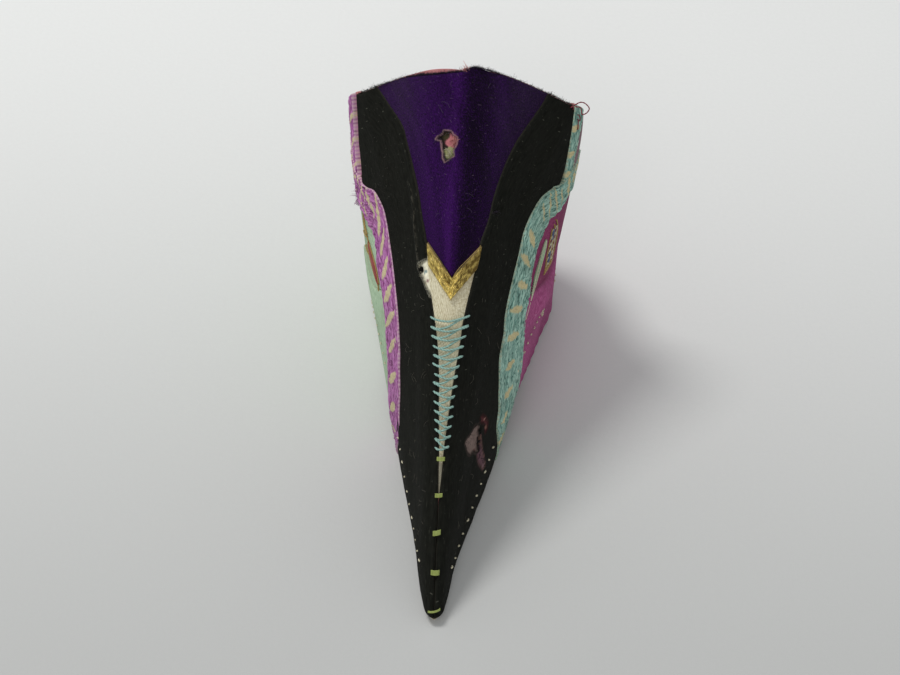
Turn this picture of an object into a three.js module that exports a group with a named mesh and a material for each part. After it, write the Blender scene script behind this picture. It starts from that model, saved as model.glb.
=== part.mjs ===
// A lotus shoe: a tall pointed cloth upper on a cotton sole and a covered wooden heel.
// Millimetres, +Z up. The toe points to -Y, the heel to +Y, and the sole stands on z = 0.
import * as THREE from "three";
import { mergeVertices } from "three/addons/utils/BufferGeometryUtils.js";

// Driving sizes of the shoe
const length = 130;
const ballWidth = 21.6;
const heelWidth = 43.6;
const collarWidth = 53.8;
const frontHeight = 88.6;
const quarterHeight = 46;
const bedHeight = 24;
const soleThickness = 2.2;
const hemLift = 0.8;
const toeSpring = 1.4;
const archLift = 4;
const toeBend = 0.6;

// Thicknesses of the layers, and the clearance between pieces that meet
const wall = 1.5;
const panelThickness = 0.9;
const insoleThickness = 1.2;
const ribbonProud = 0.35;
const coverProud = 0.6;
const trimProud = 0.2;
const gap = 0.3;
const footGap = 0.5;

// Where things begin and end along the shoe, as shares of its length
const springEnd = 0.108;
const bendEnd = 0.17;
const archStart = 0.323;
const archTop = 0.523;
const archEnd = 0.692;
const bedStart = 0.37;
const bedEnd = 0.85;
const heelBreast = 0.477;
const insoleStart = 0.16;
const insoleEnd = 0.955;

// Depths below the finished face of the shoe
const coreDepth = panelThickness + gap;
const liningDepth = coreDepth + wall;
const insoleDepth = liningDepth + gap;

// The heel cover's top line, as the rise at its front end and at the back seam
const coverFront = { rib: 0.328, rise: 0.515 };
const coverBackRise = 0.585;

function table(columns, rows) {
  return rows.map((row) => Object.fromEntries(columns.map((name, i) => [name, row[i]])));
}

// The last: one row for each rib, counted from the front ridge (0) round the side to the back
// seam (1). A rib runs from the base edge up to the top edge. Backs and swellBack are shares of
// the length; ball and heel are shares of half those widths and add up to the base half width;
// topHalf and swell are shares of half the collar width; front and quarter are shares of those
// heights and add up to the height of the top edge.
const ribs = table(
  ["at", "baseBack", "ball", "heel", "topBack", "topHalf", "front", "quarter", "swell", "swellBack"],
  [
    [0.00, 0.000, 0.000, 0.000, 0.654, 0.000, 1.000, 0.000, 0.000, 0.000],
    [0.05, 0.010, 0.157, 0.000, 0.659, 0.128, 0.998, 0.000, 0.007, 0.000],
    [0.11, 0.046, 0.250, 0.000, 0.669, 0.292, 0.982, 0.000, 0.022, 0.000],
    [0.19, 0.131, 0.376, 0.000, 0.685, 0.486, 0.944, 0.000, 0.037, 0.000],
    [0.29, 0.246, 0.648, 0.000, 0.708, 0.704, 0.887, 0.000, 0.054, 0.000],
    [0.40, 0.385, 1.000, 0.000, 0.732, 0.896, 0.828, 0.000, 0.063, 0.000],
    [0.52, 0.538, 0.600, 0.360, 0.758, 1.000, 0.779, 0.000, 0.056, 0.000],
    [0.62, 0.646, 0.300, 0.615, 0.781, 0.974, 0.310, 0.580, 0.022, 0.000],
    [0.71, 0.746, 0.100, 0.835, 0.819, 0.892, 0.080, 0.830, 0.000, 0.000],
    [0.80, 0.838, 0.000, 1.000, 0.873, 0.829, 0.000, 0.935, 0.015, 0.000],
    [0.88, 0.919, 0.000, 0.910, 0.927, 0.684, 0.000, 0.948, 0.019, 0.003],
    [0.95, 0.981, 0.000, 0.535, 0.974, 0.387, 0.000, 0.978, 0.011, 0.008],
    [1.00, 1.000, 0.000, 0.000, 0.989, 0.000, 0.000, 1.000, 0.000, 0.009],
  ],
);

// Lines across one side of the shoe, from the top edge down to the base. Each is three places on
// the last, as a rib and a rise (0 at the base, 1 at the top edge): the inner edge of the black
// vamp, its outer edge, where the ribbon begins, and the ribbon's rear edge.
const sideLines = table(
  ["innerRib", "innerRise", "ribbonRib", "ribbonRise", "rearRib", "rearRise"],
  [
    [0.300, 1.000, 0.440, 1.000, 0.440, 1.000],
    [0.262, 0.950, 0.430, 0.940, 0.430, 0.940],
    [0.210, 0.900, 0.418, 0.870, 0.418, 0.870],
    [0.182, 0.856, 0.408, 0.810, 0.408, 0.810],
    [0.157, 0.812, 0.400, 0.764, 0.405, 0.682],
    [0.138, 0.766, 0.350, 0.765, 0.362, 0.667],
    [0.120, 0.722, 0.303, 0.737, 0.338, 0.637],
    [0.105, 0.680, 0.276, 0.690, 0.322, 0.600],
    [0.093, 0.640, 0.262, 0.630, 0.322, 0.560],
    [0.077, 0.595, 0.249, 0.570, 0.328, 0.515],
    [0.060, 0.548, 0.241, 0.510, 0.325, 0.465],
    [0.044, 0.490, 0.238, 0.460, 0.327, 0.415],
    [0.034, 0.430, 0.243, 0.410, 0.332, 0.370],
    [0.025, 0.370, 0.250, 0.360, 0.340, 0.325],
    [0.014, 0.315, 0.262, 0.310, 0.352, 0.280],
    [0.000, 0.270, 0.276, 0.260, 0.368, 0.230],
    [0.000, 0.210, 0.291, 0.210, 0.388, 0.180],
    [0.000, 0.150, 0.311, 0.160, 0.410, 0.125],
    [0.000, 0.095, 0.335, 0.105, 0.435, 0.075],
    [0.000, 0.045, 0.362, 0.050, 0.457, 0.035],
    [0.000, 0.000, 0.390, 0.000, 0.475, 0.000],
  ],
);
const ribbonTurn = 4;
const coverLine = 9;

// The arch ribbon's hidden end, from the side opening forward to the turn: upper and lower edge
const ribbonEnd = table(
  ["ribbonRib", "ribbonRise", "rearRib", "rearRise"],
  [
    [0.600, 1.000, 0.635, 1.000],
    [0.570, 0.905, 0.600, 0.855],
    [0.530, 0.830, 0.560, 0.762],
    [0.485, 0.785, 0.505, 0.705],
    [0.440, 0.766, 0.450, 0.678],
  ],
);

// The top edge above the arch ribbon, station by station from the front corner back
const edgeTops = [0.44, 0.465, 0.492, 0.525, 0.56, 0.59];

// The quarter's front point on the heel cover's line, and its stations along the topline
const quarterFront = 0.335;
const quarterRibs = [0.67, 0.71, 0.75, 0.79, 0.83, 0.865, 0.9, 0.93, 0.955, 0.98, 1];

// The velvet front panel: the ridge place of each line across it, and its edge
const velvetLines = table(
  ["ridgeRise", "edgeRib", "edgeRise"],
  [
    [1.000, 0.300, 1.000],
    [0.950, 0.262, 0.950],
    [0.900, 0.210, 0.900],
    [0.850, 0.182, 0.856],
    [0.800, 0.157, 0.812],
    [0.750, 0.138, 0.766],
    [0.700, 0.120, 0.722],
    [0.655, 0.107, 0.692],
    [0.620, 0.101, 0.672],
  ],
);
const trimLines = table(
  ["ridgeRise", "edgeRib", "edgeRise"],
  [
    [0.620, 0.101, 0.672],
    [0.599, 0.096, 0.652],
    [0.578, 0.090, 0.632],
  ],
);
const goreLines = table(
  ["ridgeRise", "edgeRib", "edgeRise"],
  [
    [0.578, 0.090, 0.632],
    [0.555, 0.077, 0.595],
    [0.525, 0.060, 0.548],
    [0.480, 0.044, 0.490],
    [0.425, 0.034, 0.430],
    [0.368, 0.025, 0.370],
    [0.315, 0.014, 0.315],
  ],
);

// Slopes for a smooth curve through a column of values at uneven stations
function slopes(stations, values) {
  const steps = values.slice(1).map((value, i) => (value - values[i]) / (stations[i + 1] - stations[i]));
  const inner = steps.slice(1).map((step, i) => {
    const before = stations[i + 1] - stations[i];
    const after = stations[i + 2] - stations[i + 1];
    return (steps[i] * after + step * before) / (before + after);
  });
  const last = steps.length - 1;
  return [2 * steps[0] - inner[0], ...inner, 2 * steps[last] - inner[inner.length - 1]];
}

// A cubic Hermite curve through the values; mirror -1 or 1 carries it on past an end as an odd or
// an even curve, and 0 leaves that end free
function curve(stations, values, mirrorStart = 0, mirrorEnd = 0) {
  const x = [...stations];
  const y = [...values];
  if (mirrorStart) {
    x.unshift(2 * stations[0] - stations[1]);
    y.unshift(mirrorStart * values[1]);
  }
  if (mirrorEnd) {
    const last = stations.length - 1;
    x.push(2 * stations[last] - stations[last - 1]);
    y.push(mirrorEnd * values[last - 1]);
  }
  const m = slopes(x, y);
  return (at) => {
    let i = 0;
    while (i < x.length - 2 && at > x[i + 1]) i += 1;
    const step = x[i + 1] - x[i];
    const t = (at - x[i]) / step;
    const rise = y[i] * (1 + 2 * t) * (1 - t) ** 2 + y[i + 1] * t * t * (3 - 2 * t);
    return rise + step * (m[i] * t * (1 - t) ** 2 - m[i + 1] * t * t * (1 - t));
  };
}

const ribPlaces = ribs.map((row) => row.at);
const ribCurve = (column, start, end) => curve(ribPlaces, ribs.map((row) => row[column]), start, end);
const last = {
  baseBack: ribCurve("baseBack", 1, 1),
  ball: ribCurve("ball", -1, -1),
  heel: ribCurve("heel", -1, -1),
  topBack: ribCurve("topBack", 0, 1),
  topHalf: ribCurve("topHalf", 0, -1),
  front: ribCurve("front", 0, 1),
  quarter: ribCurve("quarter", 0, 1),
  swell: ribCurve("swell", 0, -1),
  swellBack: ribCurve("swellBack", 0, 1),
};

function ease(value, from, to) {
  const t = Math.min(1, Math.max(0, (value - from) / (to - from)));
  return t * t * (3 - 2 * t);
}

// Height of the underside: sprung up at the toe, flat at the forefoot and heel, arched between
function underside(back) {
  const share = back / length;
  const spring = toeSpring * Math.max(0, 1 - share / springEnd) ** 2;
  return spring + archLift * (ease(share, archStart, archTop) - ease(share, archTop, archEnd));
}

// Height of the bed on which the foot rests: the top of the sole, then of the wooden heel
function bed(back) {
  const climb = (bedHeight - soleThickness) * ease(back / length, bedStart, bedEnd);
  return underside(back) + soleThickness + climb;
}

const baseBack = (rib) => length * last.baseBack(rib);

// A place on the finished face of the right half, without the toe's bend
function facePoint(rib, rise) {
  const low = { x: (ballWidth * last.ball(rib) + heelWidth * last.heel(rib)) / 2, y: baseBack(rib) };
  low.z = underside(low.y) + hemLift;
  const high = { x: (collarWidth * last.topHalf(rib)) / 2, y: length * last.topBack(rib) };
  high.z = frontHeight * last.front(rib) + quarterHeight * last.quarter(rib);
  const belly = 4 * rise * (1 - rise);
  return new THREE.Vector3(
    low.x + (high.x - low.x) * rise + (belly * collarWidth * last.swell(rib)) / 2,
    low.y + (high.y - low.y) * rise + belly * length * last.swellBack(rib),
    low.z + (high.z - low.z) * rise,
  );
}

function faceNormal(rib, rise) {
  const nudge = 1e-3;
  const clamp = (value) => Math.min(1, Math.max(0, value));
  const round = facePoint(clamp(rib + nudge), rise).sub(facePoint(clamp(rib - nudge), rise));
  const up = facePoint(rib, rise + nudge).sub(facePoint(rib, rise - nudge));
  return round.cross(up).normalize();
}

function insetPoint(rib, rise, depth) {
  return facePoint(rib, rise).addScaledVector(faceNormal(rib, rise), -depth);
}

// The rib at which a face at this depth meets the middle plane: the mitre of the front ridge
const mitres = new Map();
function mitre(rise, depth) {
  const key = `${rise.toFixed(5)} ${depth}`;
  if (!mitres.has(key)) {
    const step = 0.004;
    let low = 0;
    while (insetPoint(low + step, rise, depth).x < 0) low += step;
    let high = low + step;
    for (let i = 0; i < 24; i += 1) {
      const middle = (low + high) / 2;
      if (insetPoint(middle, rise, depth).x < 0) low = middle;
      else high = middle;
    }
    mitres.set(key, high);
  }
  return mitres.get(key);
}

// A place on the shoe at a depth below its finished face. The rib is signed: + right, - left. A
// piece of one side alone stays clear of the middle plane.
function place(signedRib, rise, depth, clear = 0) {
  const rib = Math.min(1, Math.abs(signedRib));
  let point = facePoint(rib, rise);
  if (depth > 0) {
    const start = mitre(rise, depth);
    point = insetPoint(start + (1 - start) * rib, rise, depth);
  } else if (depth < 0) {
    point = insetPoint(rib, rise, depth);
  }
  const half = rib === 0 || rib === 1 ? 0 : point.x;
  const bend = toeBend * Math.max(0, 1 - point.y / (length * bendEnd)) ** 2;
  point.x = Math.sign(signedRib) * Math.max(clear, half) + bend;
  return point;
}

// The rise at which a rib meets a surface whose height changes along the shoe
function riseAt(signedRib, heightAt, depth) {
  const above = (rise) => {
    const point = place(signedRib, rise, depth);
    return point.z - heightAt(point.y);
  };
  const nudge = 0.01;
  let rise = 0;
  for (let i = 0; i < 8; i += 1) {
    const here = above(rise);
    rise -= (here * nudge) / (above(rise + nudge) - here);
  }
  return rise;
}

function wallPoint(signedRib, heightAt, depth) {
  const point = place(signedRib, riseAt(signedRib, heightAt, depth), depth);
  point.z = heightAt(point.y);
  return point;
}

// A closed mesh from lists of corners and quads, with its faces turned outwards
function solid(corners, quads) {
  const triangles = quads.flatMap(([a, b, c, d]) => [a, b, c, a, c, d]);
  const rough = new THREE.BufferGeometry();
  rough.setAttribute("position", new THREE.Float32BufferAttribute(corners.flatMap((p) => p.toArray()), 3));
  rough.setIndex(triangles);
  const merged = mergeVertices(rough, 1e-4);
  const index = merged.index.array;
  const kept = [];
  for (let i = 0; i < index.length; i += 3) {
    const [a, b, c] = index.slice(i, i + 3);
    if (a !== b && b !== c && c !== a) kept.push([a, b, c]);
  }
  const at = (i) => new THREE.Vector3().fromBufferAttribute(merged.attributes.position, i);
  const volume = kept.reduce((sum, [a, b, c]) => sum + at(a).dot(at(b).cross(at(c))), 0);
  merged.setIndex(kept.flatMap(([a, b, c]) => (volume < 0 ? [a, c, b] : [a, b, c])));
  merged.computeVertexNormals();
  return merged;
}

// The closed solid between two grids of the same size, joined round their border. With wrapped
// set, each row closes on itself and only its first and last rows have a border.
function between(outer, inner, wrapped = false) {
  const rows = outer.length;
  const columns = outer[0].length;
  const corners = [...outer.flat(), ...inner.flat()];
  const at = (layer, row, column) => layer * rows * columns + row * columns + (column % columns);
  const quads = [];
  const lastColumn = wrapped ? columns : columns - 1;
  for (let i = 0; i < rows - 1; i += 1) {
    for (let j = 0; j < lastColumn; j += 1) {
      quads.push([at(0, i, j), at(0, i, j + 1), at(0, i + 1, j + 1), at(0, i + 1, j)]);
      quads.push([at(1, i, j), at(1, i + 1, j), at(1, i + 1, j + 1), at(1, i, j + 1)]);
    }
  }
  for (let j = 0; j < lastColumn; j += 1) {
    quads.push([at(0, 0, j), at(1, 0, j), at(1, 0, j + 1), at(0, 0, j + 1)]);
    quads.push([at(0, rows - 1, j), at(0, rows - 1, j + 1), at(1, rows - 1, j + 1), at(1, rows - 1, j)]);
  }
  for (let i = 0; i < rows - 1 && !wrapped; i += 1) {
    quads.push([at(0, i, 0), at(0, i + 1, 0), at(1, i + 1, 0), at(1, i, 0)]);
    quads.push([at(0, i, lastColumn), at(1, i, lastColumn), at(1, i + 1, lastColumn), at(0, i + 1, lastColumn)]);
  }
  return solid(corners, quads);
}

// The rows of a table with smooth rows added between them, so that neighbours share their edges
function refine(rows, parts) {
  const steps = rows.map((_, i) => i);
  const columns = Object.keys(rows[0]);
  const curves = columns.map((name) => curve(steps, rows.map((row) => row[name])));
  return Array.from({ length: (rows.length - 1) * parts + 1 }, (_, i) => (
    Object.fromEntries(columns.map((name, k) => [name, curves[k](i / parts)]))));
}

const mix = (a, b, t) => a + (b - a) * t;

// Evenly spaced shares drawn closer together at both ends
const crowded = (share, crowding) => share - (crowding * Math.sin(2 * Math.PI * share)) / (2 * Math.PI);

// A cloth panel of one side: each line crosses it between two places on the last. It is held half
// the gap back from its outline, and its stations can be crowded towards both ends of the lines.
function sidePanel(side, lines, { across, proud = 0, crowding = 0 }) {
  const end = lines.length - 1;
  const spot = (row, v, depth) => {
    const i = Math.min(end - 1, Math.floor(row));
    const at = (k, axis) => mix(lines[i][k][axis], lines[i + 1][k][axis], row - i);
    const rise = Math.min(1, mix(at(0, 1), at(1, 1), v));
    return place(side * mix(at(0, 0), at(1, 0), v), rise, depth, gap / 2);
  };
  const inset = (from, to) => gap / 2 / spot(from, 0.5, 0).distanceTo(spot(to, 0.5, 0));
  const rows = lines.map((_, i) => i);
  rows[0] += inset(0, 1);
  rows[end] -= inset(end - 1, end);
  const grid = (depth) => rows.map((row) => {
    const edge = gap / 2 / spot(row, 0, 0).distanceTo(spot(row, 1, 0));
    return Array.from({ length: across + 1 }, (_, j) => (
      spot(row, mix(edge, 1 - edge, crowded(j / across, crowding)), depth)));
  });
  return between(grid(-proud), grid(panelThickness));
}

// A panel that crosses the front ridge, the same on both sides
function frontPanel(lines, { across, proud = 0 }) {
  const end = lines.length - 1;
  const spot = (row, v, depth) => {
    const i = Math.min(end - 1, Math.floor(row));
    const at = (name) => mix(lines[i][name], lines[i + 1][name], row - i);
    return place(v * at("edgeRib"), mix(at("ridgeRise"), at("edgeRise"), Math.abs(v)), depth);
  };
  const inset = (from, to) => gap / 2 / spot(from, 0, 0).distanceTo(spot(to, 0, 0));
  const rows = lines.map((_, i) => i);
  rows[0] += inset(0, 1);
  rows[end] -= inset(end - 1, end);
  const grid = (depth) => rows.map((row) => {
    const reach = 1 - gap / 2 / spot(row, 0, 0).distanceTo(spot(row, 1, 0));
    return Array.from({ length: 2 * across + 1 }, (_, j) => spot(row, reach * (j / across - 1), depth));
  });
  return between(grid(-proud), grid(panelThickness));
}

// A solid that fills the shoe from side to side, between two heights worked out along it
function crossBlock(fromRib, toRib, { depth, floor, roof, along, levels, crowding = 0 }) {
  const corners = [];
  const quads = [];
  const loop = 2 * (levels + 1);
  for (let i = 0; i <= along; i += 1) {
    const rib = mix(fromRib, toRib, crowded(i / along, crowding));
    const side = (sign) => Array.from({ length: levels + 1 }, (_, k) => (
      wallPoint(sign * rib, (back) => mix(floor(back), roof(back), k / levels), depth)));
    corners.push(...side(-1), ...side(1).reverse());
  }
  for (let i = 0; i < along; i += 1) {
    for (let k = 0; k < loop; k += 1) {
      const next = (k + 1) % loop;
      quads.push([i * loop + k, i * loop + next, (i + 1) * loop + next, (i + 1) * loop + k]);
    }
  }
  for (const i of [0, along]) {
    for (let k = 0; k < levels; k += 1) {
      const ring = [k, k + 1, loop - 2 - k, loop - 1 - k].map((j) => i * loop + j);
      quads.push(i === 0 ? ring.reverse() : ring);
    }
  }
  return solid(corners, quads);
}

// The rib whose base edge lies at a share of the length
function ribAtBack(share) {
  let low = 0;
  let high = 1;
  for (let i = 0; i < 30; i += 1) {
    const middle = (low + high) / 2;
    if (last.baseBack(middle) < share) low = middle;
    else high = middle;
  }
  return low;
}

// The hollow upper: one wall round the foot, open at the collar and underneath. Its stations lie
// closer together at the front ridge and the back seam, where the wall turns
function upperShell() {
  const columns = 32;
  const rows = 8;
  const crowding = 0.5;
  const signedRibs = [];
  for (let j = -columns; j < columns; j += 1) signedRibs.push(crowded(j / columns, crowding));
  const grid = (depth) => Array.from({ length: rows + 1 }, (_, i) => signedRibs.map((rib) => {
    const foot = riseAt(rib, (back) => bed(back) + footGap, depth);
    return place(rib, mix(foot, 1, i / rows), depth);
  }));
  return between(grid(coreDepth), grid(liningDepth), true);
}

// The rows of every side panel, worked out once so that their edges agree
const fineness = 2;
const archTable = [...ribbonEnd, ...sideLines.slice(ribbonTurn)].map((row) => ({
  ribbonRib: row.ribbonRib, ribbonRise: row.ribbonRise, rearRib: row.rearRib, rearRise: row.rearRise,
}));
const archRows = refine(archTable, fineness);
const topRows = refine(sideLines.slice(0, ribbonTurn + 1), fineness);
const innerRows = refine(sideLines, fineness);
const turnRow = fineness * ribbonEnd.length;
const coverRow = turnRow + fineness * (coverLine - ribbonTurn);
const ribbonEdge = (row) => [row.ribbonRib, row.ribbonRise];
const rearEdge = (row) => [row.rearRib, row.rearRise];

const outerRows = [...topRows.slice(0, -1), ...archRows.slice(turnRow)];
const vampLines = innerRows.map((row, i) => [[row.innerRib, row.innerRise], ribbonEdge(outerRows[i])]);
const archRibbonLines = archRows.map((row) => [ribbonEdge(row), rearEdge(row)]);

// The narrow wing behind the vamp's top: each line runs from the top edge to the arch ribbon
const wingHeads = refine(edgeTops.map((rib) => ({ rib })), fineness);
const wingFeet = archRows.slice(0, turnRow + 1).reverse();
const wingLines = wingHeads.map((head, i) => [[head.rib, 1], ribbonEdge(wingFeet[i])]);

// The quarter: each line runs from the arch ribbon or the top edge down to the heel cover
const coverRise = (rib) => mix(coverFront.rise, coverBackRise, (rib - coverFront.rib) / (1 - coverFront.rib));
const underRibbon = archRows.slice(0, coverRow).reverse();
const ribbonFoot = (i) => mix(quarterFront, archRows[0].rearRib, i / (underRibbon.length - 1));
const quarterLines = [
  ...underRibbon.map((row, i) => [rearEdge(row), [ribbonFoot(i), coverRise(ribbonFoot(i))]]),
  ...quarterRibs.map((rib) => [[rib, 1], [rib, coverRise(rib)]]),
];

// The heel cover: each line runs from the arch ribbon's rear edge to the back seam
const coverLines = archRows.slice(coverRow).filter((_, i) => i % fineness === 0).map((row) => [
  rearEdge(row),
  [1, (coverBackRise * row.rearRise) / coverFront.rise],
]);

const finishes = {
  lining: { color: 0xc98f98, roughness: 0.95 },
  velvet: { color: 0x2a1450, roughness: 0.9 },
  gilt: { color: 0x9a7a2a, roughness: 0.45, metalness: 0.5 },
  satin: { color: 0xcfc6a4, roughness: 0.6 },
  black: { color: 0x1c1b1a, roughness: 0.95 },
  tealRibbon: { color: 0x6f9c98, roughness: 0.85 },
  pinkRibbon: { color: 0xa9508f, roughness: 0.85 },
  magenta: { color: 0x8d3a6e, roughness: 0.85 },
  sage: { color: 0x8fae8c, roughness: 0.85 },
  cotton: { color: 0xb9ab90, roughness: 0.95 },
  wood: { color: 0x9b7a55, roughness: 0.8 },
};

const shoe = new THREE.Group();

function addPiece(name, geometry, finish) {
  const mesh = new THREE.Mesh(geometry, new THREE.MeshStandardMaterial(finishes[finish]));
  mesh.name = name;
  shoe.add(mesh);
}

addPiece("upper", upperShell(), "lining");
addPiece("velvet_panel", frontPanel(velvetLines, { across: 7 }), "velvet");
addPiece("gold_trim", frontPanel(trimLines, { across: 4, proud: trimProud }), "gilt");
addPiece("satin_gore", frontPanel(goreLines, { across: 2 }), "satin");

for (const [side, hand, ribbon, cloth] of [
  [-1, "left", "pinkRibbon", "sage"],
  [1, "right", "tealRibbon", "magenta"],
]) {
  const piece = (name, lines, finish, shape) => (
    addPiece(`${name}_${hand}`, sidePanel(side, lines, shape), finish));
  piece("vamp", vampLines, "black", { across: 7, crowding: 0.4 });
  piece("wing_ribbon", wingLines, ribbon, { across: 4, proud: ribbonProud });
  piece("arch_ribbon", archRibbonLines, ribbon, { across: 3, proud: ribbonProud });
  piece("quarter", quarterLines, cloth, { across: 4 });
  piece("heel_cover", coverLines, cloth, { across: 22, proud: coverProud, crowding: 0.45 });
}

const breastRib = ribAtBack(heelBreast);
const breastGap = gap / length;
addPiece("sole", crossBlock(0, breastRib, {
  depth: coreDepth, floor: underside, roof: bed, along: 22, levels: 1,
}), "cotton");
addPiece("heel_block", crossBlock(ribAtBack(heelBreast + breastGap), 1, {
  depth: coreDepth, floor: underside, roof: bed, along: 24, levels: 4, crowding: 0.45,
}), "wood");
addPiece("insole", crossBlock(ribAtBack(insoleStart), ribAtBack(insoleEnd), {
  depth: insoleDepth,
  floor: (back) => bed(back) + gap,
  roof: (back) => bed(back) + gap + insoleThickness,
  along: 22,
  levels: 1,
}), "cotton");

shoe.position.y = -(length + coverProud) / 2;

export default shoe;
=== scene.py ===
# A worn lotus shoe: silk, velvet and ribbon panels laid over one last, with its hand stitching
import math

import bpy
import numpy as np
from mathutils import Matrix, Vector


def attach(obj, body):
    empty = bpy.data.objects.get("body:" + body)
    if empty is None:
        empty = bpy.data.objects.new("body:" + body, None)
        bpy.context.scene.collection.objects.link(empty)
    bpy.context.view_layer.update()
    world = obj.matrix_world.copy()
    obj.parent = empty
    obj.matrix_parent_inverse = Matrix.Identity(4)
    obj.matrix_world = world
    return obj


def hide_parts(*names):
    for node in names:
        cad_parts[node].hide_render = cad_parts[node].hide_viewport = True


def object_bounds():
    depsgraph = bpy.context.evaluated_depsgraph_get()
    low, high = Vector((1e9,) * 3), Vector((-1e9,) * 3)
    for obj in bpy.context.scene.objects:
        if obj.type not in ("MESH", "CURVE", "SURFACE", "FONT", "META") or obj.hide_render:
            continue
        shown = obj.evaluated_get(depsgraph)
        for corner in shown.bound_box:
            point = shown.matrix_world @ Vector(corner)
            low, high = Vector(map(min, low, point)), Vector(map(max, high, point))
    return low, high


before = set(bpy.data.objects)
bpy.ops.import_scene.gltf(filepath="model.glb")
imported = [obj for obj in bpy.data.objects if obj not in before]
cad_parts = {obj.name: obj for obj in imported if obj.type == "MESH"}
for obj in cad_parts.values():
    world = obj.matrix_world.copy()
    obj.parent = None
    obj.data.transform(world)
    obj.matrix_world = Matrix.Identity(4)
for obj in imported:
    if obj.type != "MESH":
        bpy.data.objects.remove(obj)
cadBox = [list(corner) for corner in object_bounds()]
print("stage: frame loaded")

# All shapes below are worked out in millimetres, toe to -Y, and scaled as they become meshes
mm = 0.001

shoe = {
    "length": 130, "ballWidth": 21.6, "heelWidth": 43.6, "collarWidth": 53.8,
    "frontHeight": 88.6, "quarterHeight": 46, "hemLift": 0.8, "toeSpring": 1.4, "archLift": 4,
    "toeBend": 0.6, "springEnd": 0.108, "bendEnd": 0.17, "archStart": 0.323, "archTop": 0.523,
    "archEnd": 0.692, "bedHeight": 24, "soleThickness": 2.2, "bedStart": 0.37, "bedEnd": 0.85,
    "footGap": 0.5, "panelDepth": 0.9, "wallDepth": 2.7, "backShift": -65.3,
}

# One row for each rib, from the front ridge (0) round the side to the back seam (1), as shares of
# the sizes above: place, base back, ball, heel, top back, top half, front, quarter, swell, swell back
ribColumns = ["at", "baseBack", "ball", "heel", "topBack", "topHalf", "front", "quarter", "swell",
              "swellBack"]
ribRows = np.array([
    [0.00, 0.000, 0.000, 0.000, 0.654, 0.000, 1.000, 0.000, 0.000, 0.000],
    [0.05, 0.010, 0.157, 0.000, 0.659, 0.128, 0.998, 0.000, 0.007, 0.000],
    [0.11, 0.046, 0.250, 0.000, 0.669, 0.292, 0.982, 0.000, 0.022, 0.000],
    [0.19, 0.131, 0.376, 0.000, 0.685, 0.486, 0.944, 0.000, 0.037, 0.000],
    [0.29, 0.246, 0.648, 0.000, 0.708, 0.704, 0.887, 0.000, 0.054, 0.000],
    [0.40, 0.385, 1.000, 0.000, 0.732, 0.896, 0.828, 0.000, 0.063, 0.000],
    [0.52, 0.538, 0.600, 0.360, 0.758, 1.000, 0.779, 0.000, 0.056, 0.000],
    [0.62, 0.646, 0.300, 0.615, 0.781, 0.974, 0.310, 0.580, 0.022, 0.000],
    [0.71, 0.746, 0.100, 0.835, 0.819, 0.892, 0.080, 0.830, 0.000, 0.000],
    [0.80, 0.838, 0.000, 1.000, 0.873, 0.829, 0.000, 0.935, 0.015, 0.000],
    [0.88, 0.919, 0.000, 0.910, 0.927, 0.684, 0.000, 0.948, 0.019, 0.003],
    [0.95, 0.981, 0.000, 0.535, 0.974, 0.387, 0.000, 0.978, 0.011, 0.008],
    [1.00, 1.000, 0.000, 0.000, 0.989, 0.000, 0.000, 1.000, 0.000, 0.009],
])
# How each column carries on past its ends: 1 even, -1 odd, 0 free
ribMirrors = [(0, 0), (1, 1), (-1, -1), (-1, -1), (0, 1), (0, -1), (0, 1), (0, 1), (0, -1), (0, 1)]


def curve(stations, values, mirrorStart=0, mirrorEnd=0):
    # cubic through the values; each slope is the weighted mean of the steps on its two sides
    x, y = list(stations), list(values)
    if mirrorStart:
        x.insert(0, 2 * stations[0] - stations[1])
        y.insert(0, mirrorStart * values[1])
    if mirrorEnd:
        x.append(2 * stations[-1] - stations[-2])
        y.append(mirrorEnd * values[-2])
    x, y = np.array(x, float), np.array(y, float)
    step = np.diff(x)
    rise = np.diff(y) / step
    inner = (rise[:-1] * step[1:] + rise[1:] * step[:-1]) / (step[:-1] + step[1:])
    slope = np.concatenate([[2 * rise[0] - inner[0]], inner, [2 * rise[-1] - inner[-1]]])

    def at(share):
        i = np.clip(np.searchsorted(x, share, side="left") - 1, 0, len(step) - 1)
        t = (share - x[i]) / step[i]
        ends = y[i] * (1 + 2 * t) * (1 - t) ** 2 + y[i + 1] * t * t * (3 - 2 * t)
        return ends + step[i] * (slope[i] * t * (1 - t) ** 2 - slope[i + 1] * t * t * (1 - t))
    return at


last = {name: curve(ribRows[:, 0], ribRows[:, k], *ribMirrors[k])
        for k, name in enumerate(ribColumns) if k}


def ease(value, start, end):
    # 0 before the start and 1 past the end, with a smooth 3tt - 2ttt between them
    t = np.clip((value - start) / (end - start), 0, 1)
    return t * t * (3 - 2 * t)


def underside(back):
    # sprung up at the toe, flat at the forefoot and the heel, arched between them
    share = back / shoe["length"]
    spring = shoe["toeSpring"] * np.maximum(0, 1 - share / shoe["springEnd"]) ** 2
    arch = (ease(share, shoe["archStart"], shoe["archTop"])
            - ease(share, shoe["archTop"], shoe["archEnd"]))
    return spring + shoe["archLift"] * arch


def bed(back):
    # the top of the sole and heel: the underside, the sole's thickness and an eased climb
    climb = shoe["bedHeight"] - shoe["soleThickness"]
    return (underside(back) + shoe["soleThickness"]
            + climb * ease(back / shoe["length"], shoe["bedStart"], shoe["bedEnd"]))


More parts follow.
